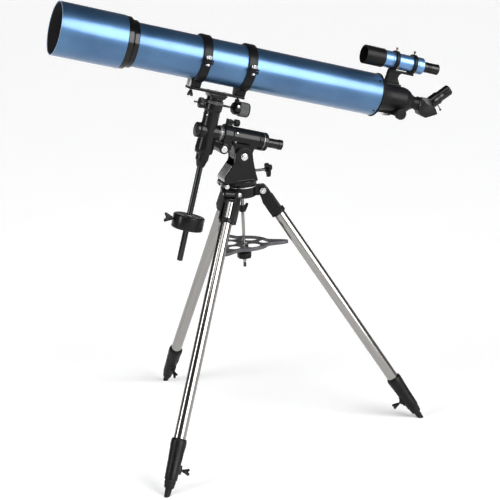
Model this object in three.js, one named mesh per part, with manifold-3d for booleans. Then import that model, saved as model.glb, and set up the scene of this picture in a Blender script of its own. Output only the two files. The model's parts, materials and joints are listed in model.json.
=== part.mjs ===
// A 102 mm refractor telescope on a German equatorial mount and a steel tripod.
// Millimetres, +Z up. The tube's front points to -X and up, its eyepiece end to +X.
import * as THREE from "three";
import { mergeVertices } from "three/addons/utils/BufferGeometryUtils.js";
import Module from "manifold-3d";

const wasm = await Module();
wasm.setup();

// ---------------------------------------------------------------- driving dimensions
const DEG = Math.PI / 180;
const GAP = 0.4; // clearance kept between touching pieces

// tripod
const FOOT_RADIUS = 482; // centre of the tripod to the middle of a foot, on the floor
const HINGE_RADIUS = 56;
const HINGE_HEIGHT = 688;
const LEG_SPREAD = Math.atan2(FOOT_RADIUS - HINGE_RADIUS, HINGE_HEIGHT); // from vertical
const LEG_LENGTH = Math.hypot(FOOT_RADIUS - HINGE_RADIUS, HINGE_HEIGHT);
const LEG_TUBE_RADIUS = 15.9; // 1.25 inch steel tube
const LEG_WALL = 1;
const CLAMP_TOP = LEG_LENGTH - 148; // distances down the leg from its hinge
const CLAMP_BOTTOM = LEG_LENGTH - 42;
const CLAMP_SCREW_DEPTH = LEG_LENGTH - 71;
const HUB_TOP = 703.5;
const HUB_BOTTOM = 672;
const TONGUE_HALF = 16; // half width of a hub arm between a leg's cheeks
const ROD_RADIUS = 4.5;
const ROD_BOTTOM = 474;
const ROD_NUT_HEIGHT = 638;
const TRAY_TOP = 543;
const TRAY_SHEET = 2.5;
const TRAY_RIM_DEPTH = 9; // the sheet's edge is turned down all round
const TRAY_MIDDLE = 69; // radius of the round middle, between the arms
const TRAY_REACH = 121; // radius at the tips of the three arms
const ARM_HOLE = { radius: 16.4, distance: 57 }; // on each arm, for an eyepiece
const WIDE_HOLE = { radius: 21, distance: 41 }; // between two arms
const LEGS = [
  { name: "right", azimuth: -16.5 * DEG, screwTurn: 0 },
  { name: "near", azimuth: -136.5 * DEG, screwTurn: -35 * DEG },
  { name: "far", azimuth: 103.5 * DEG, screwTurn: -8 * DEG },
];

// equatorial head
const LATITUDE = 15.84 * DEG; // tilt of the polar axis and of the tube
const PIVOT_HEIGHT = 785; // latitude pivot, on the tripod's centre line
const CHEEK_IN = 21.5;
const CHEEK_OUT = 31.5;
const TONGUE_LENGTH = 47; // pivot to the round end that the T-bolt pushes
const TONGUE_LEAN = 5.5 * DEG;
const T_BOLT_HEIGHT = PIVOT_HEIGHT - TONGUE_LENGTH;
const AZIMUTH_PIN_RADIUS = 53;
const AZIMUTH_BOLT_HEIGHT = 709.5;

// The head frame is tilted by the latitude. Its X axis is the tube's axis, towards the eyepiece,
// and its Z axis stands square to the tube. The pivot's place in it is (PIVOT_X, 0, PIVOT_Z).
const PIVOT_X = 68;
const PIVOT_Z = -230;
const RA_Z = -184; // polar axis, parallel to X
const DEC_X = -37; // declination axis, parallel to Z
const RA_WORM_X = 10;
const RA_WORM_Z = -221;
const RA_CLAMP_Z = RA_Z + 36;
const DEC_WORM_Y = 33;
const DEC_WORM_Z = -112.5;
const DEC_CLAMP_Z = -113;
const DEC_CIRCLE_BOTTOM = -109;
const WEIGHT_Z = -433;
const WEIGHT_RADIUS = 43;
const WEIGHT_HALF = 19; // half of its thickness
const WEIGHT_SCREW_RISE = 4;
const PLATE_TOP = -76.4;
const PLATE_BOTTOM = -82;
const RING_CENTRES = { front: -101.5, rear: 25.2 };
const RING_WIDTH = 24;
const RING_SCREW_Y = -71;

// optical tube
const TUBE_RADIUS = 57.5;
const TUBE_WALL = 1.5;
const TUBE_FRONT = -287;
const TUBE_REAR = 412;
const SHADE_RADIUS = 69;
const SHADE_FRONT = -494.4;
const SHADE_REAR = -319.4;
const APERTURE_RADIUS = 51;
const PINION_X = 486;
const PINION_Z = -35.3;
const LOCK_SCREW_X = 460;
const DRAW_RADIUS = 17.3;
const DRAW_END = 551;
const FOLD_X = 581; // where the diagonal turns the light path by 45 degrees
const FINDER_Z = 102;
const FINDER_RINGS = [450, 505.5];

// ---------------------------------------------------------------- materials
function material(color, roughness, metalness) {
  return new THREE.MeshStandardMaterial({ color, roughness, metalness });
}
const BLACK = () => material(0x17181a, 0.38, 0.2);
const CAST_BLACK = () => material(0x1d1e20, 0.5, 0.35);
const RUBBER = () => material(0x1a1a1a, 0.8, 0);
const BLUE = () => material(0x3f74b3, 0.28, 0.7);
const STEEL = () => material(0xc9ccd0, 0.18, 1);
const CHROME = () => material(0xe0e2e5, 0.08, 1);
const GREY = () => material(0x6e7072, 0.6, 0.1);
const GLASS = () => material(0x8fb6b0, 0.02, 0);

// ---------------------------------------------------------------- solids
function solid(geometry) {
  const bare = geometry.clone();
  bare.deleteAttribute("normal");
  bare.deleteAttribute("uv");
  const merged = mergeVertices(bare, 1e-4);
  return new wasm.Manifold(
    new wasm.Mesh({
      numProp: 3,
      vertProperties: merged.attributes.position.array,
      triVerts: new Uint32Array(merged.index.array),
    }),
  );
}

function geometryOf(manifold) {
  const mesh = manifold.getMesh();
  const geometry = new THREE.BufferGeometry();
  geometry.setAttribute("position", new THREE.BufferAttribute(mesh.vertProperties, 3));
  geometry.setIndex(new THREE.BufferAttribute(mesh.triVerts, 1));
  geometry.computeVertexNormals();
  return geometry;
}

function join(first, ...others) {
  return geometryOf(others.reduce((sum, other) => sum.add(solid(other)), solid(first)));
}

function cut(body, ...tools) {
  return geometryOf(tools.reduce((rest, tool) => rest.subtract(solid(tool)), solid(body)));
}

// A solid of revolution about Z. The profile's [radius, z] points run up the outside.
function turned(profile, segments = 18) {
  const points = profile.map(([radius, z]) => new THREE.Vector2(radius, z));
  return new THREE.LatheGeometry(points, segments).rotateX(Math.PI / 2);
}

// A round bar about Z from z0 to z1.
function bar(radius, z0, z1, segments = 14) {
  return turned([[0, z0], [radius, z0], [radius, z1], [0, z1]], segments);
}

// A hollow round tube about Z from z0 to z1.
function pipe(outer, inner, z0, z1, segments = 18) {
  return turned([[inner, z0], [outer, z0], [outer, z1], [inner, z1], [inner, z0]], segments);
}

function block(x0, x1, y0, y1, z0, z1) {
  return new THREE.BoxGeometry(x1 - x0, y1 - y0, z1 - z0)
    .translate((x0 + x1) / 2, (y0 + y1) / 2, (z0 + z1) / 2);
}

// An outline in X and Y, raised along Z from z0 to z1.
function raised(shape, z0, z1, curveSegments = 6) {
  const options = { depth: z1 - z0, bevelEnabled: false, curveSegments };
  return new THREE.ExtrudeGeometry(shape, options).translate(0, 0, z0);
}

function outline(points) {
  return new THREE.Shape(points.map(([x, y]) => new THREE.Vector2(x, y)));
}

// An outline given in X and Z, spread along Y from y0 to y1.
function upright(shape, y0, y1, curveSegments = 6) {
  return raised(shape, -y1, -y0, curveSegments).rotateX(Math.PI / 2);
}

// Geometry made about Z, laid along X or along Y.
const alongX = (geometry) => geometry.rotateY(Math.PI / 2);
const alongY = (geometry) => geometry.rotateX(-Math.PI / 2);

// A round outline whose radius swells and shrinks, for grips with lobes.
function lobed(radius, depth, lobes, steps = 4) {
  const count = lobes * steps;
  const points = [];
  for (let i = 0; i < count; i += 1) {
    const angle = (2 * Math.PI * i) / count;
    const r = radius - (depth / 2) * (1 - Math.cos(lobes * angle));
    points.push([r * Math.cos(angle), r * Math.sin(angle)]);
  }
  return outline(points);
}

// A screw with two wings, along +Z: a thread from z0 to the boss at z1, wings up to z2.
function wingScrew(threadRadius, z0, z1, z2, halfSpan, thickness) {
  const waist = halfSpan * 0.35;
  const wings = outline([
    [-waist, z1], [waist, z1], [halfSpan, z2 - 2], [halfSpan - 2, z2], [halfSpan - 6, z2],
    [0, z1 + 6], [6 - halfSpan, z2], [2 - halfSpan, z2], [-halfSpan, z2 - 2],
  ]);
  return join(
    bar(threadRadius, z0, z1 + 4, 10),
    bar(waist + 1, z1, z1 + 7, 12),
    upright(wings, -thickness / 2, thickness / 2),
  );
}

function add(parent, name, geometry, finish) {
  const mesh = new THREE.Mesh(geometry, finish);
  mesh.name = name;
  parent.add(mesh);
}

// ---------------------------------------------------------------- tripod
function hubArm(azimuth) {
  const arm = join(
    block(20, HINGE_RADIUS, -TONGUE_HALF, TONGUE_HALF, HINGE_HEIGHT - 13, HINGE_HEIGHT + 13),
    alongY(bar(13, -TONGUE_HALF, TONGUE_HALF, 12)).translate(HINGE_RADIUS, 0, HINGE_HEIGHT),
  );
  const bore = alongY(bar(4.5, -20, 20, 10)).translate(HINGE_RADIUS, 0, HINGE_HEIGHT);
  return cut(arm, bore).rotateZ(azimuth);
}

function tripodHub() {
  const disc = bar(39, HUB_BOTTOM, HUB_TOP, 22);
  const ear = block(-AZIMUTH_PIN_RADIUS - 6, -20, -7, 7, HUB_TOP - 14, HUB_TOP);
  const pin = bar(5, HUB_TOP - 2, AZIMUTH_BOLT_HEIGHT + 3.5, 12)
    .translate(-AZIMUTH_PIN_RADIUS, 0, 0);
  const arms = LEGS.map((leg) => hubArm(leg.azimuth));
  return cut(join(disc, ear, pin, ...arms), bar(ROD_RADIUS + GAP, HUB_BOTTOM - 1, HUB_TOP + 1, 12));
}

// The tray's outline: a round middle that swells into an arm towards each leg.
function trayOutline(steps = 72) {
  const armWidth = 10.6 * DEG;
  const points = [];
  for (let i = 0; i < steps; i += 1) {
    const angle = LEGS[0].azimuth + (2 * Math.PI * i) / steps;
    const fromArm = ((i / steps) * 3 - Math.round((i / steps) * 3)) * 120 * DEG;
    const swell = Math.exp(-((fromArm / armWidth) ** 2));
    const r = TRAY_MIDDLE + (TRAY_REACH - TRAY_MIDDLE) * swell;
    points.push([r * Math.cos(angle), r * Math.sin(angle)]);
  }
  return points;
}

function trayHole({ radius, distance }, azimuth) {
  return solid(bar(radius, TRAY_TOP - 20, TRAY_TOP + 20, 16))
    .translate(distance * Math.cos(azimuth), distance * Math.sin(azimuth), 0);
}

function accessoryTray() {
  const outer = new wasm.CrossSection([trayOutline()]);
  const inner = outer.offset(-TRAY_SHEET, "Miter");
  const rimBottom = TRAY_TOP - TRAY_RIM_DEPTH;
  const hollow = inner.extrude(TRAY_RIM_DEPTH - TRAY_SHEET).translate(0, 0, rimBottom);
  let tray = outer.extrude(TRAY_RIM_DEPTH).translate(0, 0, rimBottom).subtract(hollow);
  tray = tray.subtract(solid(bar(ROD_RADIUS + GAP, TRAY_TOP - 20, TRAY_TOP + 20, 12)));
  for (const leg of LEGS) {
    tray = tray.subtract(trayHole(ARM_HOLE, leg.azimuth));
    tray = tray.subtract(trayHole(WIDE_HOLE, leg.azimuth + 60 * DEG));
  }
  return geometryOf(tray);
}

function trayKnob() {
  const top = TRAY_TOP - TRAY_SHEET - GAP;
  const hub = bar(12, top - 25, top, 16);
  const grip = raised(lobed(20, 3, 7), top - 41, top - 25);
  return cut(join(hub, grip), bar(ROD_RADIUS + GAP, top - 50, top + 10, 12));
}

function rodWingNut() {
  const wings = outline([
    [-16, 10], [-15, 14], [-10, 14], [-5, 6], [5, 6], [10, 14], [15, 14], [16, 10], [8, -8], [-8, -8],
  ]);
  const body = join(bar(9, -9, 8, 14), upright(wings, -3.5, 3.5));
  const nut = cut(body, bar(ROD_RADIUS + GAP, -30, 30, 12));
  return nut.rotateZ(-20 * DEG).translate(0, 0, ROD_NUT_HEIGHT);
}

// Leg pieces are made about the leg's own axis, from its hinge at the origin down -Z.
// Local X points away from the tripod's centre.
function legBracket() {
  const side = new THREE.Shape();
  side.moveTo(13, 0);
  side.absarc(0, 0, 13, 0, Math.PI, false);
  side.lineTo(-16, -16);
  side.lineTo(-19, -26);
  side.lineTo(-19, -74);
  side.lineTo(12, -74);
  const cheeks = [[16.4, 20.4], [-20.4, -16.4]].map(([y0, y1]) => upright(side, y0, y1, 5));
  const web = block(-19.5, -16.4, -18, 18, -78, -26);
  const band = bar(20.4, -80, -68, 16);
  const body = cut(join(band, web, ...cheeks), bar(16.4, -90, -20, 18));
  return cut(body, alongY(bar(4.5, -30, 30, 10)));
}

function legTube() {
  return pipe(LEG_TUBE_RADIUS, LEG_TUBE_RADIUS - LEG_WALL, -(CLAMP_TOP + 34), -24, 18);
}

function legClamp(screwTurn) {
  const shell = turned([
    [16.3, -CLAMP_TOP], [16.3, -CLAMP_TOP - 35], [14.8, -CLAMP_TOP - 35],
    [14.8, -CLAMP_BOTTOM], [16.5, -CLAMP_BOTTOM], [18, -CLAMP_TOP - 60],
    [20, -CLAMP_TOP - 22], [19, -CLAMP_TOP], [16.3, -CLAMP_TOP],
  ], 16);
  const boss = alongX(bar(7, -24, -16, 12)).translate(0, 0, -CLAMP_SCREW_DEPTH).rotateZ(screwTurn);
  const bore = alongX(bar(3.4, -40, 0, 10)).translate(0, 0, -CLAMP_SCREW_DEPTH).rotateZ(screwTurn);
  return cut(join(shell, boss), bore);
}

function legClampScrew(screwTurn) {
  return wingScrew(3, 15, 29, 49, 11, 5)
    .rotateY(-Math.PI / 2)
    .rotateX(20 * DEG)
    .translate(0, 0, -CLAMP_SCREW_DEPTH)
    .rotateZ(screwTurn);
}

function legExtension() {
  const inner = pipe(14.2, 13, -(CLAMP_BOTTOM + 6), -330, 16);
  const foot = turned([
    [0, -LEG_LENGTH - 12], [7.5, -LEG_LENGTH - 12], [8.5, -CLAMP_BOTTOM - 23],
    [12.8, -CLAMP_BOTTOM - 20], [14.6, -CLAMP_BOTTOM - 8], [14.6, -CLAMP_BOTTOM - GAP], [13.6, -CLAMP_BOTTOM - GAP],
    [13.6, -CLAMP_BOTTOM + 20], [12, -CLAMP_BOTTOM + 20], [0, -CLAMP_BOTTOM + 20],
  ], 16);
  const floor = block(-60, 60, -60, 60, -60, 0).rotateY(LEG_SPREAD).translate(0, 0, -LEG_LENGTH);
  return cut(join(inner, foot), floor);
}

function buildLeg(leg) {
  const turn = new THREE.Group();
  turn.rotation.z = leg.azimuth;
  const frame = new THREE.Group();
  frame.position.set(HINGE_RADIUS, 0, HINGE_HEIGHT);
  frame.rotation.y = -LEG_SPREAD;
  turn.add(frame);
  add(frame, `leg_bracket_${leg.name}`, legBracket(), BLACK());
  add(frame, `leg_tube_${leg.name}`, legTube(), STEEL());
  add(frame, `leg_clamp_${leg.name}`, legClamp(leg.screwTurn), BLACK());
  add(frame, `leg_clamp_screw_${leg.name}`, legClampScrew(leg.screwTurn), BLACK());
  add(frame, `leg_extension_${leg.name}`, legExtension(), BLACK());
  return turn;
}

// ---------------------------------------------------------------- azimuth and latitude
function cheekShape() {
  const shape = new THREE.Shape();
  shape.moveTo(-57, 716);
  shape.lineTo(37, 716);
  shape.lineTo(29, 750);
  shape.lineTo(25, PIVOT_HEIGHT);
  shape.absarc(0, PIVOT_HEIGHT, 25, 0, 150 * DEG, false);
  shape.lineTo(-27, 770);
  shape.lineTo(-57, 732);
  return shape;
}

function azimuthBase() {
  const disc = turned([[0, 704], [38, 704], [41, 707], [41, 720], [0, 720]], 22);
  const ledge = block(-61, -20, -22, 22, 713.6, 720);
  const lug = (y0, y1) => block(-59, -47, y0, y1, 704, 720);
  const cheek = (y0, y1) => upright(cheekShape(), y0, y1);
  const frontWeb = upright(outline([
    [-57, 716], [-50, 716], [-50, 730], [-28, 757], [-33, 762], [-57, 732],
  ]), -26, 26);
  const rearWall = upright(outline([[29, 716], [37, 716], [31.5, 752], [26, 752]]), -26, 26);
  const body = join(
    disc,
    ledge,
    lug(14, 22),
    lug(-22, -14),
    cheek(CHEEK_IN, CHEEK_OUT),
    cheek(-CHEEK_OUT, -CHEEK_IN),
    frontWeb,
    rearWall,
  );
  return cut(
    body,
    alongY(bar(6 + GAP, -40, 40, 14)).translate(0, 0, PIVOT_HEIGHT),
    alongX(bar(4.6, 10, 50, 12)).translate(0, 0, T_BOLT_HEIGHT),
    alongY(bar(3.5 + GAP, -30, 30, 10)).translate(-AZIMUTH_PIN_RADIUS, 0, AZIMUTH_BOLT_HEIGHT),
  );
}

function azimuthBolt(side) {
  const bolt = join(bar(3.5, 5.9, 34, 10), bar(6, 31, 38, 12));
  const turnedOver = side > 0 ? bolt : bolt.rotateX(Math.PI);
  return alongY(turnedOver).translate(-AZIMUTH_PIN_RADIUS, 0, AZIMUTH_BOLT_HEIGHT);
}

function latitudeBolt() {
  const bolt = join(bar(6, -35, 38, 14), bar(9, -37, -32, 6), bar(10, 32, 40, 6));
  return alongY(bolt).translate(0, 0, PIVOT_HEIGHT);
}

function latitudeTBolt() {
  const tip = TONGUE_LENGTH * Math.sin(TONGUE_LEAN) + 8.8;
  const bolt = join(
    bar(4, tip, 76, 12),
    bar(7, 68, 84, 14),
    raised(lobed(22, 12, 3, 8), 73, 84),
  );
  return alongX(bolt).translate(0, 0, T_BOLT_HEIGHT);
}

// ---------------------------------------------------------------- polar axis, head frame
function raHousing() {
  const barrel = turned([[0, 4], [28, 4], [28, 26], [25.5, 30], [25.5, 105], [0, 105]], 22);
  const neckTop = RA_Z - 10;
  const neck = outline([
    [PIVOT_X - 24, PIVOT_Z], [PIVOT_X + 24, PIVOT_Z], [PIVOT_X + 30, neckTop], [PIVOT_X - 34, neckTop],
  ]);
  const lean = LATITUDE + TONGUE_LEAN; // the tongue hangs near the vertical at rest
  const end = [PIVOT_X + TONGUE_LENGTH * Math.sin(lean), PIVOT_Z - TONGUE_LENGTH * Math.cos(lean)];
  const arm = block(-7, 7, -12, 12, -TONGUE_LENGTH, 0).rotateY(-lean).translate(PIVOT_X, 0, PIVOT_Z);
  const wormCase = alongY(bar(13, -26, 24, 12)).translate(RA_WORM_X, 0, RA_WORM_Z);
  const wormNeck = block(RA_WORM_X - 4, RA_WORM_X + 20, -22, 20, RA_WORM_Z, RA_Z - 18);
  const clampBoss = block(9, 25, -8, 8, RA_Z + 20, RA_Z + 43);
  const body = join(
    alongX(barrel).translate(0, 0, RA_Z),
    upright(neck, -20.5, 20.5),
    alongY(bar(24, -20.5, 20.5, 18)).translate(PIVOT_X, 0, PIVOT_Z),
    arm,
    alongY(bar(8, -12, 12, 14)).translate(end[0], 0, end[1]),
    wormCase,
    wormNeck,
    clampBoss,
  );
  const shaftRoom = turned([[0, 3], [24, 3], [24, 20], [10.6, 20], [10.6, 110], [0, 110]], 16);
  return cut(
    body,
    alongX(shaftRoom).translate(0, 0, RA_Z),
    alongY(bar(6 + GAP, -30, 30, 14)).translate(PIVOT_X, 0, PIVOT_Z),
    alongY(bar(6.4, -16, 30, 12)).translate(RA_WORM_X, 0, RA_WORM_Z),
    alongX(bar(3.4, 12, 30, 10)).translate(0, 0, RA_CLAMP_Z),
  );
}

// The polar shaft carries the worm wheel and the flange that the declination housing sits on.
function raShaft() {
  const profile = [
    [0, -12], [20, -12], [20, -8], [15, -8], [15, 5],
    [23, 5], [23, 19], [10.2, 19], [10.2, 104], [0, 104],
  ];
  return alongX(turned(profile, 16)).translate(0, 0, RA_Z);
}

function raSettingCircle() {
  return alongX(pipe(22.5, 15.4, -7.6, 3.4, 20)).translate(0, 0, RA_Z);
}

function raClampKnob() {
  const knob = join(bar(3, 14, 32, 10), raised(lobed(9.5, 1.5, 8, 2), 30.5, 46));
  return alongX(knob).translate(0, 0, RA_CLAMP_Z);
}

function raWormKnob() {
  const knob = join(
    bar(5.8, -15, 23, 12),
    bar(3, 20, 44, 10),
    bar(12, 36, 44, 16),
    raised(lobed(14, 1, 14, 2), 44, 64),
  );
  return alongY(knob).translate(RA_WORM_X, 0, RA_WORM_Z);
}

function polarScope() {
  const collar = bar(25, 105.4, 131, 22);
  const scope = turned([[0, 120], [12.8, 120], [12.8, 172], [14, 173], [14, 178], [0, 178]], 16);
  return alongX(join(collar, scope)).translate(0, 0, RA_Z);
}

// ---------------------------------------------------------------- declination axis, head frame
function decHousing() {
  const column = turned([
    [0, -262], [17.5, -262], [18, -246], [24, -241], [25, -232], [23, -205], [21.5, -150],
    [21.5, -129], [24.5, -126], [24.5, DEC_CIRCLE_BOTTOM - GAP], [0, DEC_CIRCLE_BOTTOM - GAP],
  ], 16);
  const body = join(
    column.translate(DEC_X, 0, 0),
    alongX(bar(21, DEC_X - 24.5, -12.4, 16)).translate(0, 0, RA_Z),
    alongX(bar(8.5, -56, -18, 10)).translate(0, DEC_WORM_Y, DEC_WORM_Z),
    block(-54, -20, 10, DEC_WORM_Y + 3, -126, DEC_WORM_Z),
    block(-66.6, -54, -8, 8, -126, DEC_CLAMP_Z),
    alongX(bar(8, -66.6, -62.2, 10)).translate(0, 0, DEC_CLAMP_Z),
  );
  return cut(
    body,
    bar(9.6, -248, -100, 12).translate(DEC_X, 0, 0),
    bar(8, -262.5, -249, 10).translate(DEC_X, 0, 0),
    alongX(bar(3.4, -70, -50, 10)).translate(0, 0, DEC_CLAMP_Z),
    alongX(bar(5.4, -50, -10, 10)).translate(0, DEC_WORM_Y, DEC_WORM_Z),
  );
}

function raFrontCap() {
  const cap = turned([[0, -73], [18, -73], [20.2, -70.5], [20.2, -65], [19, -62], [0, -62]], 18);
  return alongX(cap).translate(0, 0, RA_Z);
}

function decSettingCircle() {
  return pipe(24.5, 13.4, DEC_CIRCLE_BOTTOM, -100.6, 20).translate(DEC_X, 0, 0);
}

function decClampKnob() {
  const knob = join(
    bar(3, -70, -52, 10),
    raised(lobed(14, 2, 8, 2), -80, -67),
    bar(2.5, -93, -80, 10),
  );
  return alongX(knob).translate(0, 0, DEC_CLAMP_Z);
}

function decWormKnob() {
  const knob = join(
    bar(5, -48, -17.6, 12),
    bar(3, -20, 34, 10),
    turned([[0, 27], [13, 27], [18, 34], [18, 46], [0, 46]], 16),
    raised(lobed(20, 1.2, 18, 2), 46, 74),
  );
  return alongX(knob).translate(0, DEC_WORM_Y, DEC_WORM_Z);
}

// The saddle block and the declination shaft below it turn together.
function saddle() {
  const top = PLATE_BOTTOM - GAP;
  const head = upright(outline([[-62, top], [-56, -93], [-18, -93], [-10, top]]), -22, 22);
  const shaft = turned([
    [0, -245], [9.2, -245], [9.2, -106], [13, -106],
    [13, -100.2], [22, -100.2], [22, -92], [0, -92],
  ], 16);
  return join(head, shaft.translate(DEC_X, 0, 0));
}

function counterweightShaft() {
  const shaft = turned([
    [0, -540], [6, -540], [8, -538], [8, -276], [12, -270],
    [16, -262.6], [7.6, -262.6], [7.6, -250], [0, -250],
  ], 12);
  return shaft.translate(DEC_X, 0, 0);
}

function counterweight() {
  const edge = WEIGHT_HALF - 2;
  const weight = turned([
    [8.5, -WEIGHT_HALF], [WEIGHT_RADIUS - 2, -WEIGHT_HALF], [WEIGHT_RADIUS, -edge],
    [WEIGHT_RADIUS, edge], [WEIGHT_RADIUS - 2, WEIGHT_HALF], [8.5, WEIGHT_HALF], [8.5, -WEIGHT_HALF],
  ], 24);
  const bore = alongX(bar(3.9, -60, -5, 10)).translate(0, 0, WEIGHT_SCREW_RISE);
  return cut(weight, bore).translate(DEC_X, 0, WEIGHT_Z);
}

function counterweightScrew() {
  return wingScrew(3.5, 9, WEIGHT_RADIUS + 4, WEIGHT_RADIUS + 25, 13, 6)
    .rotateY(-Math.PI / 2)
    .rotateX(35 * DEG)
    .translate(DEC_X, 0, WEIGHT_Z + WEIGHT_SCREW_RISE);
}

// ---------------------------------------------------------------- rings and plate, head frame
function ringBand(centre, upper) {
  const band = alongX(pipe(63.5, TUBE_RADIUS + GAP, -RING_WIDTH / 2, RING_WIDTH / 2, 32));
  const half = upper ? block(-20, 20, -100, 100, -100, GAP) : block(-20, 20, -100, 100, -GAP, 100);
  return cut(band, half).translate(centre, 0, 0);
}

function ringLower(centre) {
  const half = RING_WIDTH / 2;
  const foot = block(-half, half, -17, 17, PLATE_TOP + GAP, -60);
  const ear = block(-half, half, -78, -61, -7, -GAP);
  const hinge = block(-half, half, 60, 67, -8, -GAP);
  const extras = cut(join(foot, ear, hinge), alongX(bar(TUBE_RADIUS + 2, -20, 20, 24)));
  return join(ringBand(centre, false), extras.translate(centre, 0, 0));
}

function ringUpper(centre) {
  const half = RING_WIDTH / 2;
  const ear = block(-half, half, -78, -61, GAP, 5);
  const hinge = block(-half, half, 60, 67, GAP, 8);
  const extras = cut(join(ear, hinge), alongX(bar(TUBE_RADIUS + 2, -20, 20, 24)));
  const bore = bar(3.4, -1, 10, 10).translate(centre, RING_SCREW_Y, 0);
  return cut(join(ringBand(centre, true), extras.translate(centre, 0, 0)), bore);
}

function ringScrew(centre) {
  const screw = join(bar(3, 0.8, 8, 10), raised(lobed(7, 1.4, 8, 2), 5.4, 15));
  return screw.translate(centre, RING_SCREW_Y, 0);
}

function mountingPlate() {
  return block(-120, 38, -19, 19, PLATE_BOTTOM, PLATE_TOP);
}

// ---------------------------------------------------------------- optical tube, head frame
function mainTube() {
  return alongX(pipe(TUBE_RADIUS, TUBE_RADIUS - TUBE_WALL, TUBE_FRONT, TUBE_REAR, 40));
}

function dewShield() {
  return alongX(pipe(SHADE_RADIUS, SHADE_RADIUS - 2.4, SHADE_FRONT, SHADE_REAR, 40));
}

function lensCell() {
  return alongX(turned([
    [48, -272], [48, -312], [APERTURE_RADIUS, -316], [APERTURE_RADIUS, -336], [66.1, -336],
    [66.1, -319], [67.5, -319], [67.5, -304.5], [60, -304.5], [60, -302], [61.5, -302],
    [61.5, -287.4], [55.5, -287.4], [55.5, -272], [48, -272],
  ], 22));
}

function objectiveLens() {
  const rim = APERTURE_RADIUS - GAP;
  return alongX(turned([
    [0, -336.5], [26, -335], [rim, -330.5], [rim, -319], [44, -317.5], [0, -317.5],
  ], 22));
}

function focuserHousing() {
  const flangeFront = TUBE_REAR + GAP;
  const shell = alongX(turned([
    [52, 395], [55.5, 395], [55.5, flangeFront], [60.2, flangeFront], [60.2, 415.5], [43, 417.5],
    [38, 450], [36, 500], [31, 515], [21, 526], [19.5, 531], [17.8, 531], [17.8, 505], [30, 500],
    [31, 420], [52, 410], [52, 395],
  ], 20));
  const shoe = block(434, 482, -13, 13, 33, 41);
  const pinionBearing = alongY(bar(10, -27, 27, 14)).translate(PINION_X, 0, PINION_Z);
  const pinionCase = join(block(472, 502, -17, 17, -44, -28), pinionBearing);
  const room = alongX(bar(30.5, 420, 520, 20));
  return cut(
    join(shell, shoe, cut(pinionCase, room)),
    alongY(bar(3.4, -40, 40, 10)).translate(PINION_X, 0, PINION_Z),
    alongY(bar(6.4, -6, 6, 14)).translate(PINION_X, 0, PINION_Z),
    block(498, 540, -3.6, 3.6, -30, -10),
    bar(2.9, -50, -28, 10).translate(LOCK_SCREW_X, 0, 0),
  );
}

function drawtube() {
  const tube = alongX(pipe(DRAW_RADIUS, 16.1, 432, DRAW_END, 20));
  const rack = block(440, 528, -3, 3, PINION_Z + 6.1, -16.6);
  return join(tube, rack);
}

function focusKnobs() {
  const grip = lobed(16, 1.2, 12, 2);
  const shaft = join(
    bar(3, -36, 36, 10),
    bar(5.8, -5.4, 5.4, 14),
    raised(grip, 34, 47),
    raised(grip, -47, -34),
    bar(9, 27.4, 35, 12),
    bar(9, -35, -27.4, 12),
  );
  return alongY(shaft).translate(PINION_X, 0, PINION_Z);
}

function focusLockScrew() {
  const screw = join(bar(2.5, -40, -30, 10), raised(lobed(6.5, 1.2, 8, 2), -50, -39));
  return screw.translate(LOCK_SCREW_X, 0, 0);
}

function starDiagonal() {
  const prism = upright(outline([
    [DRAW_END + GAP, 17], [DRAW_END + GAP, -17], [558, -28], [579, -34],
    [613, -17], [602, -2], [578, 20], [566, 20],
  ]), -15.5, 15.5);
  const nose = alongX(bar(15.7, 534, 556, 20));
  const holder = bar(17.5, 12, 37, 18).rotateY(45 * DEG).translate(FOLD_X, 0, 0);
  const bore = bar(15.9, 17, 45, 18).rotateY(45 * DEG).translate(FOLD_X, 0, 0);
  return cut(join(prism, nose, holder), bore, alongX(bar(12, 530, 562, 16)));
}

function eyepiece() {
  const profile = [
    [0, 18], [15.5, 18], [15.5, 37.4], [17, 37.4], [17, 41],
    [15.2, 43], [15.2, 78], [14, 80], [11, 80], [9, 77], [0, 77],
  ];
  return turned(profile, 18).rotateY(45 * DEG).translate(FOLD_X, 0, 0);
}

// ---------------------------------------------------------------- finder, head frame
function finderBracket() {
  const rings = FINDER_RINGS.map((x) =>
    alongX(pipe(27.5, 24.2, x - 5, x + 5, 22)).translate(0, 0, FINDER_Z));
  const stalk = upright(outline([
    [436, 41.4], [480, 41.4], [470, 56], [472, 66], [481, 73],
    [511, 73], [511, 79], [440, 79], [438, 66],
  ]), -7, 7);
  const room = alongX(bar(24.6, 430, 520, 20)).translate(0, 0, FINDER_Z);
  return join(cut(join(stalk, block(442, 514, -9, 9, 70, 79)), room), ...rings);
}

function finderTube() {
  return alongX(turned([
    [23.4, 355], [25.8, 355], [25.8, 413], [23.6, 414], [23.6, 438],
    [22.3, 440], [22.3, 516], [23, 517], [23, 535], [12.6, 535],
    [12.6, 530], [20.5, 526], [20.5, 420], [23.4, 400], [23.4, 355],
  ], 16)).translate(0, 0, FINDER_Z);
}

function finderEyepiece() {
  return alongX(turned([
    [0, 524], [12.2, 524], [12.2, 539], [14.5, 539], [14.5, 583],
    [13.5, 586], [9, 586], [7, 583], [0, 583],
  ], 20)).translate(0, 0, FINDER_Z);
}

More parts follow.
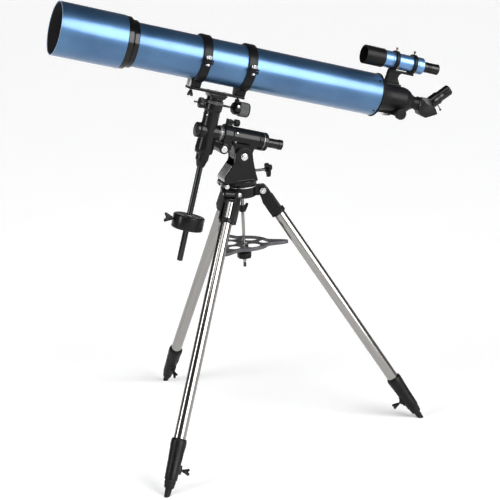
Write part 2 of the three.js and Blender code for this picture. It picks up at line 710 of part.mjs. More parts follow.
// ---------------------------------------------------------------- assembly
function buildTripod() {
  const tripod = new THREE.Group();
  add(tripod, "tripod_hub", tripodHub(), CAST_BLACK());
  add(tripod, "centre_rod", bar(ROD_RADIUS, ROD_BOTTOM, HUB_TOP - 1, 12), STEEL());
  add(tripod, "rod_wing_nut", rodWingNut(), BLACK());
  add(tripod, "accessory_tray", accessoryTray(), GREY());
  add(tripod, "tray_knob", trayKnob(), BLACK());
  tripod.add(...LEGS.map(buildLeg));
  add(tripod, "azimuth_base", azimuthBase(), CAST_BLACK());
  add(tripod, "azimuth_bolt_near", azimuthBolt(-1), CHROME());
  add(tripod, "azimuth_bolt_far", azimuthBolt(1), CHROME());
  add(tripod, "latitude_bolt", latitudeBolt(), CHROME());
  add(tripod, "latitude_t_bolt", latitudeTBolt(), BLACK());
  return tripod;
}

function buildMountHead(head) {
  add(head, "ra_housing", raHousing(), CAST_BLACK());
  add(head, "ra_shaft", raShaft(), STEEL());
  add(head, "ra_setting_circle", raSettingCircle(), STEEL());
  add(head, "ra_clamp_knob", raClampKnob(), GREY());
  add(head, "ra_worm_knob", raWormKnob(), GREY());
  add(head, "polar_scope", polarScope(), BLACK());
  add(head, "ra_front_cap", raFrontCap(), BLACK());
  add(head, "dec_housing", decHousing(), CAST_BLACK());
  add(head, "dec_setting_circle", decSettingCircle(), BLACK());
  add(head, "dec_clamp_knob", decClampKnob(), BLACK());
  add(head, "dec_worm_knob", decWormKnob(), GREY());
  add(head, "saddle", saddle(), CAST_BLACK());
  add(head, "counterweight_shaft", counterweightShaft(), CHROME());
  add(head, "counterweight", counterweight(), CAST_BLACK());
  add(head, "counterweight_screw", counterweightScrew(), BLACK());
}

function buildTelescope(head) {
  add(head, "mounting_plate", mountingPlate(), BLACK());
  for (const [name, centre] of Object.entries(RING_CENTRES)) {
    add(head, `ring_lower_${name}`, ringLower(centre), CAST_BLACK());
    add(head, `ring_upper_${name}`, ringUpper(centre), CAST_BLACK());
    add(head, `ring_screw_${name}`, ringScrew(centre), CHROME());
  }
  add(head, "main_tube", mainTube(), BLUE());
  add(head, "dew_shield", dewShield(), BLUE());
  add(head, "lens_cell", lensCell(), BLACK());
  add(head, "objective_lens", objectiveLens(), GLASS());
  add(head, "focuser_housing", focuserHousing(), CAST_BLACK());
  add(head, "drawtube", drawtube(), BLACK());
  add(head, "focus_knobs", focusKnobs(), BLACK());
  add(head, "focus_lock_screw", focusLockScrew(), STEEL());
  add(head, "star_diagonal", starDiagonal(), BLACK());
  add(head, "eyepiece", eyepiece(), BLACK());
  add(head, "finder_bracket", finderBracket(), BLACK());
  add(head, "finder_tube", finderTube(), BLUE());
  add(head, "finder_eyepiece", finderEyepiece(), BLACK());
}

// The head frame is set so that its pivot point lies on the pivot's axis.
function buildHead() {
  const head = new THREE.Group();
  head.rotation.y = LATITUDE;
  const pivot = new THREE.Vector3(PIVOT_X, 0, PIVOT_Z).applyEuler(head.rotation);
  head.position.set(-pivot.x, 0, PIVOT_HEIGHT - pivot.z);
  buildMountHead(head);
  buildTelescope(head);
  return head;
}

const model = new THREE.Group();
model.add(buildTripod(), buildHead());

// The part's origin is the middle of its footprint, on the floor.
const bounds = new THREE.Box3().setFromObject(model, true);
const centre = bounds.getCenter(new THREE.Vector3());
model.position.set(-centre.x, -centre.y, -bounds.min.z);

const group = new THREE.Group();
group.add(model);

export default group;
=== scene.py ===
import json
import math
from collections import namedtuple

import bmesh
import bpy
from mathutils import Matrix, Vector


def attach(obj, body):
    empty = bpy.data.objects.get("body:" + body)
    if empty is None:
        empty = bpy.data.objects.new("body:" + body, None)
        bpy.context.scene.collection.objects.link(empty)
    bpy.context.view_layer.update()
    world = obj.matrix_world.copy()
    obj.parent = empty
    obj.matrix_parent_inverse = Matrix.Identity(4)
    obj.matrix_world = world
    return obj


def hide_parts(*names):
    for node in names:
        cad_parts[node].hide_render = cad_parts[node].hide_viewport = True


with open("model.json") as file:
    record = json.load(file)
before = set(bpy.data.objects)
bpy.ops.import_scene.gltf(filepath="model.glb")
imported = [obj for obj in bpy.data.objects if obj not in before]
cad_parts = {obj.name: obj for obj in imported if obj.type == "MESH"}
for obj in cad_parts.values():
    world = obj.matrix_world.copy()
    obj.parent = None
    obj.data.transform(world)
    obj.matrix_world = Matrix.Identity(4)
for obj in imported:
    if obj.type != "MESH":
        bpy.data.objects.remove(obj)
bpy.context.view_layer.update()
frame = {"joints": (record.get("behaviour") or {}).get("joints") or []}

# A 102 mm refractor on a German equatorial mount and a steel tripod: the visual model.
# Shapes are given in millimetres in the frame of the part they belong to, and those frames
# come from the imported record's joints.

MM = 0.001

# ---------- dimensions, in millimetres
RA_Z = -184  # polar axis below the tube's axis
RA_CLAMP_Z = RA_Z + 36
DEC_X = -37
DEC_CLAMP_Z = -113
DEC_WORM = (33, -112.5)
RA_WORM = (10, -221)
PIVOT = (68, -230)
PIVOT_HEIGHT = 785
T_BOLT_HEIGHT = 738
AZIMUTH_PIN_X = -53
AZIMUTH_BOLT_HEIGHT = 709.5
WEIGHT_Z = -433
WEIGHT_SCREW_Z = WEIGHT_Z + 4
PLATE_TOP = -76.4
PLATE_BOTTOM = -82
RINGS = {"front": -101.5, "rear": 25.2}
RING_SCREW_Y = -71
PINION = (486, -35.3)
FOLD_X = 581
FINDER_Z = 102
FINDER_RINGS = (450, 505.5)
HINGE_RADIUS = 56  # from the tripod's centre to a leg's hinge
HINGE_HEIGHT = 688
TRAY_TOP = 543
ROD_NUT_HEIGHT = 638
LEG_ANGLES = {"right": -16.5, "near": -136.5, "far": 103.5}  # degrees about the tripod's centre
LEG_LENGTH = 809.2  # from the hinge to the floor, along the leg
CLAMP_TOP = LEG_LENGTH - 148
CLAMP_BOTTOM = LEG_LENGTH - 42
CLAMP_SCREW = LEG_LENGTH - 71
CLAMP_SCREW_TURNS = {"right": 0, "near": -35, "far": -8}  # degrees about the leg
TONGUE_LENGTH = 47
TONGUE_LEAN = 5.5  # degrees
HEAD_TILT = 15.84  # degrees, at rest


# ---------- frames
joints = {joint["name"]: joint for joint in frame["joints"]}


def placement(origin, x_axis, z_axis):
    """A matrix with this origin, its Z along z_axis and its X as near x_axis as it can be."""
    z = Vector(z_axis).normalized()
    y = z.cross(Vector(x_axis)).normalized()
    matrix = Matrix((y.cross(z), y, z)).transposed().to_4x4()
    matrix.translation = origin
    return matrix


def head_placement():
    z = Vector(joints["dec_turn"]["axis"])
    on_polar_axis = Vector(joints["ra_turn"]["pos_m"])
    return placement(on_polar_axis - z * RA_Z * MM, joints["focus_travel"]["axis"], z)


def leg_placement(name):
    hinge = Vector(joints[f"leg_fold_{name}"]["pos_m"])
    outwards = (hinge - tripod_centre) * Vector((1, 1, 0))
    down = Vector(joints[f"leg_extend_{name}"]["axis"])
    return placement(hinge, outwards, -down)


tripod_centre = Vector(joints["tray_turn"]["pos_m"]) * Vector((1, 1, 0))
TRIPOD = Matrix.Translation(tripod_centre)
HEAD = head_placement()
LEGS = {name: leg_placement(name) for name in ("right", "near", "far")}

ALONG_X = Matrix.Rotation(math.radians(90), 4, "Y")
ALONG_Y = Matrix.Rotation(math.radians(-90), 4, "X")
UPRIGHT = Matrix.Rotation(math.radians(90), 4, "X")
ACROSS_X = Matrix(((0, 0, 1, 0), (1, 0, 0, 0), (0, 1, 0, 0), (0, 0, 0, 1)))


def shift(x=0.0, y=0.0, z=0.0):
    """A move in millimetres, for placing a piece's own frame."""
    return Matrix.Translation(Vector((x, y, z)) * MM)


def move(x=0.0, y=0.0, z=0.0):
    """A move in shape units, for placing one shape in a piece."""
    return Matrix.Translation(Vector((x, y, z)))


def turn(degrees, axis="Z"):
    return Matrix.Rotation(math.radians(degrees), 4, axis)


def around(radius, angle):
    """A point on a circle, from an angle in radians."""
    return (radius * math.cos(angle), radius * math.sin(angle))


# Frames whose Z runs along the axis of the part that is named.
TUBE = HEAD @ ALONG_X
FINDER = HEAD @ shift(z=FINDER_Z) @ ALONG_X
POLAR = HEAD @ shift(z=RA_Z) @ ALONG_X
DECLINATION = HEAD @ shift(x=DEC_X)
# The turn of each leg about the tripod's centre.
LEG_TURNS = {name: turn(angle) for name, angle in LEG_ANGLES.items()}


# ---------- shapes
Shape = namedtuple("Shape", "points faces finishes")  # finishes holds an index for each face
CORNER_STEPS = 3  # the steps of every rounded corner


def placed(shape, matrix):
    return Shape([matrix @ point for point in shape.points], shape.faces, shape.finishes)


def merged(*shapes):
    points, faces, finishes = [], [], []
    for shape in shapes:
        start = len(points)
        points += shape.points
        faces += [[start + i for i in face] for face in shape.faces]
        finishes += shape.finishes
    return Shape(points, faces, finishes)


def rounded(corners, radius, closed=True):
    """An outline with its corners eased by up to that radius."""
    corners = [Vector(corner) for corner in corners]
    result = []
    for i, corner in enumerate(corners):
        if not closed and i in (0, len(corners) - 1):
            result.append(corner)
            continue
        before = corners[i - 1] - corner
        after = corners[(i + 1) % len(corners)] - corner
        reach = min(radius, 0.42 * before.length, 0.42 * after.length)
        if reach < 0.02 or before.angle(after) > math.radians(168):
            result.append(corner)
            continue
        start = corner + before.normalized() * reach
        end = corner + after.normalized() * reach
        for k in range(CORNER_STEPS + 1):
            t = k / CORNER_STEPS
            result.append(start * (1 - t) ** 2 + corner * (2 * t * (1 - t)) + end * t * t)
    return result


def lathe(profile, segments=64, fillet=0.7, finish=None):
    """A solid of revolution about Z from [radius, z] points; a profile that closes makes a ring."""
    closed = tuple(profile[0]) == tuple(profile[-1])
    profile = rounded(profile[:-1] if closed else profile, fillet, closed)
    points, rows = [], []
    for radius, z in profile:
        if radius < 1e-6:
            rows.append([len(points)] * segments)
            points.append(Vector((0, 0, z)))
            continue
        rows.append(list(range(len(points), len(points) + segments)))
        for k in range(segments):
            points.append(Vector((*around(radius, 2 * math.pi * k / segments), z)))
    faces, finishes = [], []
    pairs = list(zip(rows, rows[1:])) + ([(rows[-1], rows[0])] if closed else [])
    for n, (low, high) in enumerate(pairs):
        a, b = profile[n], profile[(n + 1) % len(profile)]
        index = finish((a[0] + b[0]) / 2, (a[1] + b[1]) / 2) if finish else 0
        for k in range(segments):
            j = (k + 1) % segments
            face = list(dict.fromkeys((low[k], low[j], high[j], high[k])))
            if len(face) > 2:
                faces.append(face)
                finishes.append(index)
    return Shape(points, faces, finishes)


def bar(radius, z0, z1, segments=40, fillet=0.5):
    return lathe([(0, z0), (radius, z0), (radius, z1), (0, z1)], segments, fillet)


def cross_bar(radius, y0, y1, x, z, segments=40, fillet=0.5):
    """A bar along Y that crosses the plane of X and Z at this point."""
    return placed(bar(radius, y0, y1, segments, fillet), move(x, 0, z) @ ALONG_Y)


def pipe(outer, inner, z0, z1, segments=64, fillet=0.5, finish=None):
    profile = [(inner, z0), (outer, z0), (outer, z1), (inner, z1), (inner, z0)]
    return lathe(profile, segments, fillet, finish)


def slab(outlines, z0, z1, bevel=0.6):
    """Outlines in X and Y (the first is the outside, the others are holes), raised from z0 to z1."""
    curve = bpy.data.curves.new("outline", "CURVE")
    curve.dimensions = "2D"
    curve.fill_mode = "BOTH"
    curve.extrude = (z1 - z0) / 2 - bevel
    curve.bevel_depth = bevel
    curve.bevel_resolution = 2
    curve.offset = -bevel
    for outline in outlines:
        spline = curve.splines.new("POLY")
        spline.points.add(len(outline) - 1)
        for point, (x, y) in zip(spline.points, outline):
            point.co = (x, y, 0, 1)
        spline.use_cyclic_u = True
    holder = bpy.data.objects.new("outline", curve)
    mesh = bpy.data.meshes.new_from_object(holder)
    middle = Vector((0, 0, (z0 + z1) / 2))
    points = [vertex.co + middle for vertex in mesh.vertices]
    faces = [list(polygon.vertices) for polygon in mesh.polygons]
    bpy.data.objects.remove(holder)
    bpy.data.meshes.remove(mesh)
    bpy.data.curves.remove(curve)
    return Shape(points, faces, [0] * len(faces))


def block(x0, x1, y0, y1, z0, z1, bevel=0.8, corner=1.5):
    outline = rounded([(x0, y0), (x1, y0), (x1, y1), (x0, y1)], corner)
    return slab([outline], z0, z1, bevel)


def upright(outline, y0, y1, bevel=0.6):
    """An outline given in X and Z, spread along Y."""
    return placed(slab([outline], -y1, -y0, bevel), UPRIGHT)


def arc(radius, start, end, steps, centre=(0, 0)):
    """Points on a circle from one angle to another, in degrees."""
    angles = [math.radians(start + (end - start) * k / steps) for k in range(steps + 1)]
    points = [around(radius, angle) for angle in angles]
    return [(centre[0] + x, centre[1] + y) for x, y in points]


def circle(radius, steps=48, centre=(0, 0)):
    return arc(radius, 0, 360 - 360 / steps, steps - 1, centre)


def lobed(radius, depth, lobes, steps=8):
    """A round outline with lobes or ribs."""
    points = []
    for i in range(lobes * steps):
        angle = 2 * math.pi * i / (lobes * steps)
        points.append(around(radius - depth / 2 * (1 - math.cos(lobes * angle)), angle))
    return points


def thread(radius, z0, z1, pitch=1.5, depth=0.5):
    """A threaded rod about Z, its turns drawn as close rings."""
    profile = [(0, z0), (radius - depth, z0)]
    turns = int((z1 - z0) / pitch)
    for k in range(turns):
        profile.append((radius, z0 + pitch * (k + 0.5)))
        profile.append((radius - depth, z0 + pitch * (k + 1)))
    return lathe(profile + [(0, z1)], 24, 0)


def screw_head(radius, height):
    """A domed head on Z with a round socket."""
    socket = radius * 0.42
    return lathe([
        (0, 0), (radius, 0), (radius, height * 0.55), (radius * 0.8, height),
        (socket, height), (socket, height * 0.45), (0, height * 0.45),
    ], 32, 0.35)


def wing_screw(thread_radius, z0, z1, z2, half_span, thickness):
    """A screw along Z with two wings above its boss at z1."""
    waist = half_span * 0.35
    wings = rounded([
        (-waist, z1), (waist, z1), (half_span, z2 - 3), (half_span - 1.5, z2), (half_span - 6, z2),
        (0, z2 - 5), (6 - half_span, z2), (1.5 - half_span, z2), (-half_span, z2 - 3),
    ], 2.4)
    boss = lathe([(0, z1), (waist + 1.4, z1), (waist + 1, z1 + 7), (0, z1 + 8)], 32, 1)
    stem = thread(thread_radius, z0, z1, 1.25, 0.35)
    return merged(boss, upright(wings, -thickness / 2, thickness / 2, 0.9), stem)


# ---------- materials
def feed(socket, value):
    """Links another node's output to the socket, or sets it to a constant."""
    if isinstance(value, bpy.types.NodeSocket):
        socket.id_data.links.new(value, socket)
    else:
        socket.default_value = value


def node_adder(tree):
    """A function that adds a node to the tree and feeds the inputs it is given."""
    def node(kind, **inputs):
        made = tree.nodes.new(kind)
        for key, value in inputs.items():
            feed(made.inputs[key.replace("_", " ")], value)
        return made

    return node


def new_material(name):
    """A material with nodes, its tree, its shader, and a function that adds a node."""
    material = bpy.data.materials.new(name)
    material.use_nodes = True
    tree = material.node_tree
    return material, tree, tree.nodes["Principled BSDF"], node_adder(tree)


def maths(node, operation, *values):
    made = node("ShaderNodeMath")
    made.operation = operation
    for socket, value in zip(made.inputs, values):
        feed(socket, value)
    return made.outputs[0]


def stretched(node, scale):
    """Object coordinates, stretched, for grain that runs one way."""
    coordinates = node("ShaderNodeTexCoord")
    return node("ShaderNodeMapping", Vector=coordinates.outputs["Object"], Scale=scale).outputs["Vector"]


def ramp(node, factor, stops):
    """A colour that runs through the stops, each a position and a colour."""
    made = node("ShaderNodeValToRGB", Fac=factor)
    elements = made.color_ramp.elements
    while len(elements) < len(stops):
        elements.new(0.5)
    for element, (position, color) in zip(elements, stops):
        element.position = position
        element.color = (*color, 1)
    return made.outputs["Color"]


def paint(tree, shader, node, color, wear, roughness, wear_range=(0.0, 1.0)):
    """Feeds the shader a colour, and a roughness that goes from low to high with the wear."""
    tree.links.new(color, shader.inputs["Base Color"])
    rough = node("ShaderNodeMapRange", Value=wear, From_Min=wear_range[0], From_Max=wear_range[1],
                 To_Min=roughness[0], To_Max=roughness[1])
    tree.links.new(rough.outputs["Result"], shader.inputs["Roughness"])


def grained(name, dark, light, roughness, metallic=0.0, grain=400.0, bump=0.1,
            spread=0.08, stretch=(1, 1, 1), coat=0.0, coat_roughness=0.05, specular=0.5):
    """A surface whose colour, roughness and relief all vary with a fine noise."""
    material, tree, shader, node = new_material(name)
    vector = stretched(node, stretch)
    fine = node("ShaderNodeTexNoise", Vector=vector, Scale=grain, Detail=4.0, Roughness=0.6)
    broad = node("ShaderNodeTexNoise", Vector=vector, Scale=grain * 0.035, Detail=3.0)
    half = maths(node, "MULTIPLY", broad.outputs["Fac"], 0.5)
    mixed = maths(node, "MULTIPLY_ADD", fine.outputs["Fac"], 0.5, half)
    color = ramp(node, mixed, [(0.35, dark), (0.65, light)])
    paint(tree, shader, node, color, broad.outputs["Fac"],
          (roughness - spread, roughness + spread), (0.3, 0.7))
    relief = node("ShaderNodeBump", Height=fine.outputs["Fac"], Strength=bump, Distance=0.0004)
    tree.links.new(relief.outputs["Normal"], shader.inputs["Normal"])
    shader.inputs["Metallic"].default_value = metallic
    shader.inputs["Specular IOR Level"].default_value = specular
    shader.inputs["Coat Weight"].default_value = coat
    shader.inputs["Coat Roughness"].default_value = coat_roughness
    return material


def metallic_lacquer(name, deep, bright):
    """Blue lacquer with fine metal flakes under a clear coat."""
    material, tree, shader, node = new_material(name)
    vector = stretched(node, (1, 1, 1))
    flakes = node("ShaderNodeTexVoronoi", Vector=vector, Scale=2600.0)
    clouds = node("ShaderNodeTexNoise", Vector=vector, Scale=9.0, Detail=3.0)
    sparkle = maths(node, "MULTIPLY_ADD", flakes.outputs["Distance"], 0.4, clouds.outputs["Fac"])
    color = ramp(node, sparkle, [(0.4, deep), (0.95, bright)])
    paint(tree, shader, node, color, clouds.outputs["Fac"], (0.32, 0.38), (0.3, 0.7))
    relief = node("ShaderNodeBump", Height=flakes.outputs["Distance"], Strength=0.05, Distance=0.0003)
    tree.links.new(relief.outputs["Normal"], shader.inputs["Normal"])
    shader.inputs["Metallic"].default_value = 0.85
    shader.inputs["Coat Weight"].default_value = 0.6
    shader.inputs["Coat Roughness"].default_value = 0.16
    return material


def graduated(name, ground, mark, marks, metallic, roughness):
    """A setting circle: fine marks round the axis of the piece, a longer one every fifth."""
    material, tree, shader, node = new_material(name)
    coordinates = node("ShaderNodeTexCoord")
    split = node("ShaderNodeSeparateXYZ", Vector=coordinates.outputs["Object"])
    angle = maths(node, "ARCTAN2", split.outputs["Y"], split.outputs["X"])
    position = maths(node, "MULTIPLY", angle, marks / (2 * math.pi))
    short = maths(node, "LESS_THAN", maths(node, "FRACT", position), 0.22)
    lower = maths(node, "LESS_THAN", split.outputs["Z"], 0.0)
    fifth = maths(node, "FRACT", maths(node, "MULTIPLY", position, 0.2))
    long = maths(node, "LESS_THAN", fifth, 0.05)
    shown = maths(node, "MAXIMUM", maths(node, "MULTIPLY", short, lower), long)
    wear = node("ShaderNodeTexNoise", Vector=coordinates.outputs["Object"], Scale=300.0, Detail=3.0)
    faded = maths(node, "MULTIPLY", shown, maths(node, "ADD", wear.outputs["Fac"], 0.35))
    color = ramp(node, faded, [(0.1, ground), (0.5, mark)])
    paint(tree, shader, node, color, wear.outputs["Fac"], (roughness, roughness + 0.2))
    shader.inputs["Metallic"].default_value = metallic
    return material


def coated_glass(name, tint):
    material, tree, shader, node = new_material(name)
    dust = node("ShaderNodeTexNoise", Vector=stretched(node, (1, 1, 1)), Scale=160.0, Detail=5.0)
    color = ramp(node, dust.outputs["Fac"], [(0.2, tint), (0.8, tuple(0.94 * c for c in tint))])
    paint(tree, shader, node, color, dust.outputs["Fac"], (0.0, 0.05))
    shader.inputs["Transmission Weight"].default_value = 0.9
    shader.inputs["IOR"].default_value = 1.52
    shader.inputs["Coat Weight"].default_value = 0.6
    shader.inputs["Coat Tint"].default_value = (0.5, 0.9, 0.7, 1)
    return material


def grey(level, tint=1.08):
    """A neutral colour, a little blue by default."""
    return (level, level, level * tint)


# Each grained finish: the record's slot that it belongs to, then what grained() is given.
GRAINED = {
    "inside": ("optics_black", "flocked_black", grey(0.004), grey(0.012), 0.85,
               {"grain": 1500, "bump": 0.5}),
    "enamel": ("mount_paint", "gloss_enamel", grey(0.0025), grey(0.006), 0.24,
               {"grain": 260, "bump": 0.09, "spread": 0.05, "coat": 0.1, "coat_roughness": 0.1,
                "specular": 0.2}),
    "band": ("mount_paint", "ring_enamel", grey(0.003), grey(0.007), 0.34,
             {"grain": 420, "bump": 0.12, "specular": 0.17}),
    "anodised": ("optics_black", "satin_anodised", grey(0.0035), grey(0.008), 0.38,
                 {"grain": 900, "bump": 0.08, "specular": 0.15}),
    "gloss": ("optics_black", "gloss_anodised", grey(0.0025), grey(0.0055), 0.17,
              {"grain": 500, "bump": 0.04, "coat": 0.1, "specular": 0.26}),
    "plastic": ("leg_plastic", "moulded_plastic", grey(0.0035), grey(0.008), 0.36,
                {"grain": 1400, "bump": 0.2, "specular": 0.16}),
    "rubber": ("leg_foot", "foot_rubber", grey(0.004, 1), grey(0.010), 0.6,
               {"grain": 900, "bump": 0.35, "specular": 0.17}),
    "grip": ("knob_grey", "grey_rubber_grip", grey(0.055, 1), grey(0.10, 1), 0.55,
             {"grain": 1200, "bump": 0.3}),
    "knob": ("knob_black", "black_knob", grey(0.003), grey(0.0075), 0.4,
             {"grain": 1300, "bump": 0.2, "specular": 0.17}),
    "tray": ("tray_paint", "tray_paint", grey(0.04), grey(0.075), 0.3,
             {"grain": 700, "bump": 0.12}),
    "steel": ("polished_steel", "polished_steel", (0.25, 0.24, 0.23), (0.37, 0.36, 0.345), 0.15,
              {"metallic": 1, "grain": 700, "bump": 0.05, "spread": 0.05, "stretch": (1, 1, 0.02)}),
    "chrome": ("chrome", "chrome_plate", grey(0.62, 1.01), grey(0.78, 1.01), 0.09,
               {"metallic": 1, "grain": 350, "bump": 0.02, "spread": 0.04}),
    "dark_chrome": ("chrome", "dark_chrome", grey(0.03, 1.03), grey(0.06, 1.03), 0.12,
                    {"metallic": 1, "grain": 500, "bump": 0.03, "spread": 0.04,
                     "stretch": (1, 1, 0.03)}),
    "thread": ("polished_steel", "threaded_steel", grey(0.30, 1), grey(0.48, 0.98), 0.3,
               {"metallic": 1, "grain": 600, "bump": 0.1}),
    "bare": ("mount_paint", "machined_face", grey(0.42, 1.02), grey(0.58, 1.02), 0.3,
             {"metallic": 0.9, "grain": 500, "bump": 0.08, "stretch": (1, 0.05, 1)}),
    "brass": ("chrome", "brass_screw", (0.17, 0.125, 0.06), (0.27, 0.205, 0.10), 0.28,
              {"metallic": 1, "grain": 500, "bump": 0.05}),
    # rim: a lighter blue than the tube's lacquer, a painted highlight for the bright front edge of the
    # dew shield.
    "rim": ("tube_blue", "shade_edge_painted_highlight", (0.30, 0.42, 0.62), (0.42, 0.55, 0.74), 0.3,
            {"metallic": 0.6, "grain": 500, "bump": 0.05}),
}
FINISHES = {  # the material and the record's slot of every finish
    "blue": (metallic_lacquer("blue_lacquer", (0.042, 0.108, 0.225), (0.08, 0.18, 0.33)), "tube_blue"),
    "light_blue": (metallic_lacquer("finder_lacquer", (0.09, 0.20, 0.43), (0.15, 0.31, 0.58)),
                   "tube_blue"),
    "hour_circle": (graduated("hour_circle", grey(0.02, 1), grey(0.5, 1), 96, 0.4, 0.2), "chrome"),
    "dec_circle": (graduated("declination_circle", grey(0.012), grey(0.24, 1), 120, 0.2, 0.3),
                   "mount_paint"),
    "glass": (coated_glass("coated_glass", (0.78, 0.9, 0.86)), "lens_glass"),
}
for finish, (slot, *given, settings) in GRAINED.items():
    FINISHES[finish] = (grained(*given, **settings), slot)


# ---------- making pieces
SHARP_ANGLE = math.radians(38)
CAST_SHARP_ANGLE = math.radians(60)


def add_object(name, data):
    made = bpy.data.objects.new(name, data)
    bpy.context.scene.collection.objects.link(made)
    return made


def clean_mesh(name, shapes):
    """One mesh from the shapes, in metres, with its faces turned outwards."""
    whole = merged(*shapes)
    mesh = bpy.data.meshes.new(name)
    mesh.from_pydata([point * MM for point in whole.points], [], whole.faces)
    for polygon, index in zip(mesh.polygons, whole.finishes):
        polygon.material_index = index
    work = bmesh.new()
    work.from_mesh(mesh)
    bmesh.ops.remove_doubles(work, verts=work.verts, dist=2e-6)
    bmesh.ops.recalc_face_normals(work, faces=work.faces)
    work.to_mesh(mesh)
    work.free()
    return mesh


def remeshed(mesh, voxel, rounds):
    """The shapes melted into one casting, with soft joints between them."""
    rough = add_object("rough", mesh)
    melt = rough.modifiers.new("melt", "REMESH")
    melt.mode = "VOXEL"
    melt.voxel_size = voxel * MM
    soften = rough.modifiers.new("soften", "SMOOTH")
    soften.factor = 0.5
    soften.iterations = rounds
    bpy.context.view_layer.update()
    made = bpy.data.meshes.new_from_object(rough.evaluated_get(bpy.context.evaluated_depsgraph_get()))
    bpy.data.objects.remove(rough)
    bpy.data.meshes.remove(mesh)
    return made


def piece(name, body, place, finishes, *shapes, node=None, cast=None):
    """A piece of the visual model that rides on a body, and replaces a CAD node if one is named.

    cast is (voxel in mm, rounds of smoothing) for a casting.
    """
    finishes = [finishes] if isinstance(finishes, str) else finishes
    stands_for = [node] if node else []
    mesh = clean_mesh(name, shapes)
    if cast:
        mesh = remeshed(mesh, *cast)
        mesh.name = name
    for finish in finishes:
        mesh.materials.append(FINISHES[finish][0])
    mesh.polygons.foreach_set("use_smooth", [True] * len(mesh.polygons))
    mesh.set_sharp_from_angle(angle=CAST_SHARP_ANGLE if cast else SHARP_ANGLE)
    made = add_object(name, mesh)
    made.matrix_world = place
    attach(made, body)
    if stands_for:
        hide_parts(*stands_for)
    return made


def baked(shape, place):
    """The shape in the frame's own axes, where its box is tighter than in tilted ones."""
    points = [(place @ (point * MM)) / MM for point in shape.points]
    return Shape(points, shape.faces, shape.finishes)


def screws(name, body, place, finish, places, shape):
    """Equal screws in one piece."""
    return piece(name, body, place, finish, *[placed(shape, at) for at in places])


def radial(angle, radius, z=0.0):
    """A place on a cylinder about Z, its own Z pointing outwards."""
    return turn(angle) @ move(radius, 0, z) @ ALONG_X


def ribbed_grip(radius, depth, ribs, z0, z1, bevel=0.8):
    return slab([lobed(radius, depth, ribs, 6)], z0, z1, bevel)


def ridged(profile, z0, z1, radius, count, depth=0.5):
    """A profile that goes on up with evenly spaced grooves."""
    step = (z1 - z0) / count
    for k in range(count):
        base = z0 + k * step
        profile += [(radius, base), (radius, base + step * 0.6),
                    (radius - depth, base + step * 0.62), (radius - depth, base + step * 0.98)]
    return profile + [(radius, z1)]


# ---------- tripod
def build_hub():
    arms = []
    for place in LEG_TURNS.values():
        arm = merged(
            block(18, HINGE_RADIUS, -16, 16, 675, 701, 1),
            cross_bar(13, -16, 16, HINGE_RADIUS, HINGE_HEIGHT, 40, 1.5),
        )
        arms.append(placed(arm, place))
    disc = lathe([(0, 672), (36, 672), (39, 676), (39, 703.5), (0, 703.5)], 72, 1)
    ear = block(-59, -20, -7, 7, 690, 703.5)
    pin = placed(bar(5, 700, 713, 24), move(AZIMUTH_PIN_X))
    piece("hub_casting", "tripod", TRIPOD, "enamel", disc, ear, pin, *arms,
          node="tripod_hub", cast=(0.9, 5))
    piece("hub_washer", "tripod", TRIPOD, "bare", pipe(39.4, 30, 699.6, 702.6, 96))


def build_hinge_bolts():
    head = merged(screw_head(6.4, 4.2), bar(8.2, -1.2, 0))
    nut = merged(slab([circle(6.8, 6)], 0, 4.5, 0.5), bar(8.2, -1.2, 0), thread(3.4, 3, 7.5, 1.1, 0.3))
    for name, place in LEG_TURNS.items():
        near = move(HINGE_RADIUS, -21.8, HINGE_HEIGHT) @ turn(90, "X")
        far = move(HINGE_RADIUS, 21.8, HINGE_HEIGHT) @ turn(-90, "X")
        shank = cross_bar(4, -21.8, 21.8, HINGE_RADIUS, HINGE_HEIGHT, 24)
        parts = [placed(part, place) for part in (placed(head, near), placed(nut, far), shank)]
        piece(f"hinge_bolt_{name}", "tripod", TRIPOD, "chrome", *parts)


def build_centre_rod():
    rod = [bar(4.5, 487, 702, 32), thread(4.4, 474, 488, 1.4, 0.5)]
    piece("spreader_rod", "tripod", TRIPOD, "steel", *rod, node="centre_rod")
    wings = rounded([
        (-8, -8), (8, -8), (16, 9), (15.4, 14), (10, 14.5), (5, 7), (-5, 7), (-10, 14.5), (-15.4, 14),
        (-16, 9),
    ], 3)
    nut = [pipe(9, 5, -9, 8, 40, 1.2), upright(wings, -3.4, 3.4, 1.2)]
    place = TRIPOD @ shift(z=ROD_NUT_HEIGHT) @ turn(-20)
    piece("spreader_wing_nut", "rod_wing_nut", place, "knob", *nut, node="rod_wing_nut")


def tray_outline(inset=0.0, steps=216):
    """A round middle that swells into an arm towards each leg."""
    points = []
    for i in range(steps):
        from_arm = ((i / steps) * 3 - round((i / steps) * 3)) * 120
        swell = math.exp(-((from_arm / 10.6) ** 2))
        angle = math.radians(LEG_ANGLES["right"]) + 2 * math.pi * i / steps
        points.append(Vector(around(69 + 52 * swell, angle)))
    result = []
    for i, point in enumerate(points):
        along = (points[(i + 1) % steps] - points[i - 1]).normalized()
        result.append((point.x - along.y * inset, point.y + along.x * inset))
    return result


